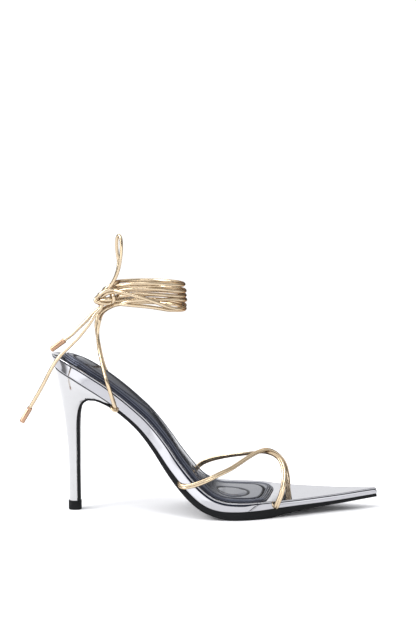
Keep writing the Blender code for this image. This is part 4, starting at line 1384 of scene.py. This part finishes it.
class SANDAL_OT_lace_tie(bpy.types.Operator):
    """Knot, bow loop and the two free ends with their metal tips"""

    bl_idname = "sandal.lace_tie"
    bl_label = "Knot, bow and ends"

    def execute(self, context):
        sizes = in_mm(context.scene.sandal.lace)
        thick = sizes.lace_diameter
        strands = [smooth_path(route, KNOT_SPACING) for route in KNOT_STRANDS]
        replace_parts(cord_piece("knot_strands", strands, thick), "lace_knot")
        self.cord("bow_loop", BOW_LOOP, "lace_bow_loop", "object", (), BOW_SHARE * thick)
        for name, route, node, tip_node in (
            ("lace_end_upper_cord", UPPER_END, "lace_end_upper", "aglet_upper"),
            ("lace_end_lower_cord", LOWER_END, "lace_end_lower", "aglet_lower"),
        ):
            tip = self.aglet(tip_node + "_tip", route, sizes)
            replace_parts(tip, tip_node)
            self.cord(name, route, node, "fitting", (tip,), thick)
        return {"FINISHED"}

    def cord(self, name, route, node, far_end, pieces, thick):
        """One free length of the lace, as a round cord."""
        path = smooth_path(route, FREE_SPACING)
        piece = cord_piece(name, [path], thick)
        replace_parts(piece, node)

    def aglet(self, name, route, sizes):
        """Metal tip: a rolled tube, open where the lace goes in and closed by a rounded disc."""
        path = smooth_path(route, FREE_SPACING)
        way = unit(path[-1] - path[-3])
        side = unit(np.cross(way, (0.0, 1.0, 0.0)))
        up = np.cross(side, way)
        radius = sizes.aglet_diameter / 2
        stop = sizes.aglet_length
        start = path[-1] - way * AGLET_OVERLAP + side * AGLET_OFFSET
        # from the bottom of its mouth to the middle of its end: distance along the tip, radius
        steps = (
            (3.2, 0.0), (3.2, radius - 0.36), (0.16, radius - 0.34), (0.0, radius - 0.18),
            (0.1, radius - 0.02), (0.4, radius), (1.1, radius), (1.25, radius - 0.12),
            (1.45, radius - 0.12), (1.6, radius), (stop - 0.5, radius), (stop - 0.3, radius + 0.04),
            (stop + 0.5, radius + 0.04), (stop + 0.85, radius - 0.12), (stop + 1.05, radius - 0.5),
            (stop + 1.1, 0.0),
        )
        turn = np.linspace(0, 2 * np.pi, 40, endpoint=False)[:, None]
        circle = np.cos(turn) * side + np.sin(turn) * up
        rings = [start + way * t + max(r, AGLET_CENTRE) * circle for t, r in steps]
        build = bmesh.new()
        add_rings(build, rings)
        return finished_piece(name, build, look(peach_metal), crease=45.0)


class SANDAL_OT_stage(bpy.types.Operator):
    """Pale floor, soft studio light and the camera"""

    bl_idname = "sandal.stage"
    bl_label = "Stage"

    def execute(self, context):
        scene = context.scene
        scene.view_settings.view_transform = "Standard"
        self.floor()
        self.world(scene)
        for row in SOFTBOXES:
            self.softbox(*row)
        self.even_light()
        data = bpy.data.cameras.new("camera")
        data.sensor_width = SENSOR
        data.lens = SENSOR * FOCAL_PX / FRAME_HEIGHT_PX
        data.clip_end = 50.0
        turn = (math.radians(90 - CAMERA_PITCH), 0.0, 0.0)
        scene.camera = self.placed("camera", data, CAMERA_PLACE, turn)
        return {"FINISHED"}

    def placed(self, name, data, place, turn):
        """Object at a place, turned, in the scene."""
        made = bpy.data.objects.new(name, data)
        made.location = place
        made.rotation_euler = turn
        bpy.context.scene.collection.objects.link(made)
        return made

    def floor(self):
        """Flat floor that ends behind the shoe, where it and the backdrop are both white."""
        outline = (
            (-FLOOR_HALF, -FLOOR_HALF), (FLOOR_HALF, -FLOOR_HALF),
            (FLOOR_HALF, FLOOR_BACK), (-FLOOR_HALF, FLOOR_BACK),
        )
        mesh = bpy.data.meshes.new("studio_floor")
        mesh.from_pydata([(x, y, -FLOOR_DROP) for x, y in outline], [], [(0, 1, 2, 3)])
        mesh.materials.append(look(matte_floor))
        self.placed("studio_floor", mesh, (0.0, 0.0, 0.0), (0.0, 0.0, 0.0))

    def softbox(self, name, place, target, box, power):
        """Rectangular light, aimed at a target."""
        data = bpy.data.lights.new(name, "AREA")
        data.shape = "RECTANGLE"
        data.size, data.size_y = box
        data.energy = power
        turn = (Vector(target) - Vector(place)).to_track_quat("-Z", "Y").to_euler()
        self.placed(name, data, place, turn)

    def even_light(self):
        """Wide even light from above, so that the floor stays white right to its far end."""
        data = bpy.data.lights.new("even_light", "SUN")
        data.energy = EVEN_STRENGTH
        data.angle = math.radians(EVEN_ANGLE)
        turn = [math.radians(angle) for angle in EVEN_TURN]
        self.placed("even_light", data, (0.0, 0.0, EVEN_HEIGHT), turn)

    def world(self, scene):
        """White room as the mirrors see it.

        Behind the camera a dimmer strip draws the dark lines in the silver. Behind the shoe the wall
        fades low down and to both sides, which keeps the sock dark where it is seen at a low angle.
        """
        world = bpy.data.worlds.new("white_studio")
        world.use_nodes = True
        tree = world.node_tree
        tree.nodes.clear()
        way = add_node(tree, "ShaderNodeTexCoord").outputs["Generated"]
        axes = add_node(tree, "ShaderNodeSeparateXYZ", {"Vector": way})
        front = add_node(tree, "ShaderNodeMapRange", {
            "Value": axes.outputs["Y"], "From Min": -0.6, "From Max": -0.25,
            "To Min": 1.0, "To Max": 0.0,
        }, interpolation_type="SMOOTHSTEP")
        side = add_node(tree, "ShaderNodeMapRange", {
            "Value": axes.outputs["X"], "From Min": -0.4, "From Max": 0.4,
            "To Min": 0.35, "To Max": 0.5,
        })
        aside = add_node(tree, "ShaderNodeMath", {0: axes.outputs["X"]}, operation="ABSOLUTE")
        fade = add_node(tree, "ShaderNodeMapRange", {
            "Value": aside.outputs["Value"], "From Min": 0.09, "From Max": 0.19,
            "To Min": 1.3, "To Max": 0.45,
        })
        high = add_node(tree, "ShaderNodeMapRange", {
            "Value": axes.outputs["Z"], "From Min": 0.28, "From Max": 0.55,
            "To Min": fade.outputs["Result"], "To Max": 1.45,
        })
        wall = add_node(tree, "ShaderNodeMapRange", {
            "Value": axes.outputs["Z"], "From Min": 0.06, "From Max": 0.14,
            "To Min": 0.04, "To Max": high.outputs["Result"],
        })
        back = add_node(tree, "ShaderNodeMapRange", {
            "Value": axes.outputs["Y"], "From Min": 0.1, "From Max": 0.5,
            "To Min": side.outputs["Result"], "To Max": wall.outputs["Result"],
        }, interpolation_type="SMOOTHSTEP")
        strip = add_node(tree, "ShaderNodeValToRGB", {"Fac": axes.outputs["Z"]})
        ramp = strip.color_ramp
        while len(ramp.elements) < len(STRIP_LEVELS):
            ramp.elements.new(1.0)
        for step, (place, value) in zip(ramp.elements, STRIP_LEVELS):
            step.position = place
            step.color = (value, value, value, 1)
        shade = add_node(tree, "ShaderNodeMix", {
            "Factor": front.outputs["Result"], 2: back.outputs["Result"], 3: strip.outputs["Color"],
        }, data_type="FLOAT")
        room = add_node(tree, "ShaderNodeBackground", {
            "Color": ROOM_COLOUR, "Strength": shade.outputs[0],
        })
        backdrop = add_node(tree, "ShaderNodeBackground", {
            "Color": BACKDROP_COLOUR, "Strength": BACKDROP_STRENGTH,
        })
        seen = add_node(tree, "ShaderNodeLightPath").outputs["Is Camera Ray"]
        both = add_node(tree, "ShaderNodeMixShader", {
            0: seen, 1: room.outputs["Background"], 2: backdrop.outputs["Background"],
        })
        add_node(tree, "ShaderNodeOutputWorld", {"Surface": both.outputs["Shader"]})
        scene.world = world


OPERATORS = (
    SANDAL_OT_board, SANDAL_OT_sock, SANDAL_OT_outsole, SANDAL_OT_heel, SANDAL_OT_toe_straps,
    SANDAL_OT_ankle_lace, SANDAL_OT_lace_tie, SANDAL_OT_stage,
)


class SANDAL_PT_panel(bpy.types.Panel):
    """Sizes, colours and makers of the sandal"""

    bl_idname = "SANDAL_PT_panel"
    bl_label = "Stiletto sandal"
    bl_space_type = "VIEW_3D"
    bl_region_type = "UI"
    bl_category = "Sandal"

    def draw(self, context):
        settings = context.scene.sandal
        for group in (settings.board, settings.sock, settings.lace, settings.finish):
            box = self.layout.box()
            for name in type(group).__annotations__:
                box.prop(group, name)
        for operator in OPERATORS:
            self.layout.operator(operator.bl_idname)


CLASSES = (
    SandalBoard, SandalSock, SandalLace, SandalFinish, SandalSettings, *OPERATORS, SANDAL_PT_panel,
)


def register():
    """Makes the classes and the sandal's settings known to Blender."""
    for kind in CLASSES:
        bpy.utils.register_class(kind)
    bpy.types.Scene.sandal = PointerProperty(type=SandalSettings)


def unregister():
    """Takes the settings and the classes out again."""
    del bpy.types.Scene.sandal
    for kind in reversed(CLASSES):
        bpy.utils.unregister_class(kind)


def plain(box):
    """A box as plain lists of numbers."""
    return [[float(v) for v in corner] for corner in box]


def main():
    """Builds every piece and the stage."""
    register()
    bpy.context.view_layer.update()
    for operator in OPERATORS:
        group, name = operator.bl_idname.split(".")
        getattr(getattr(bpy.ops, group), name)()


if __name__ == "__main__":
    main()
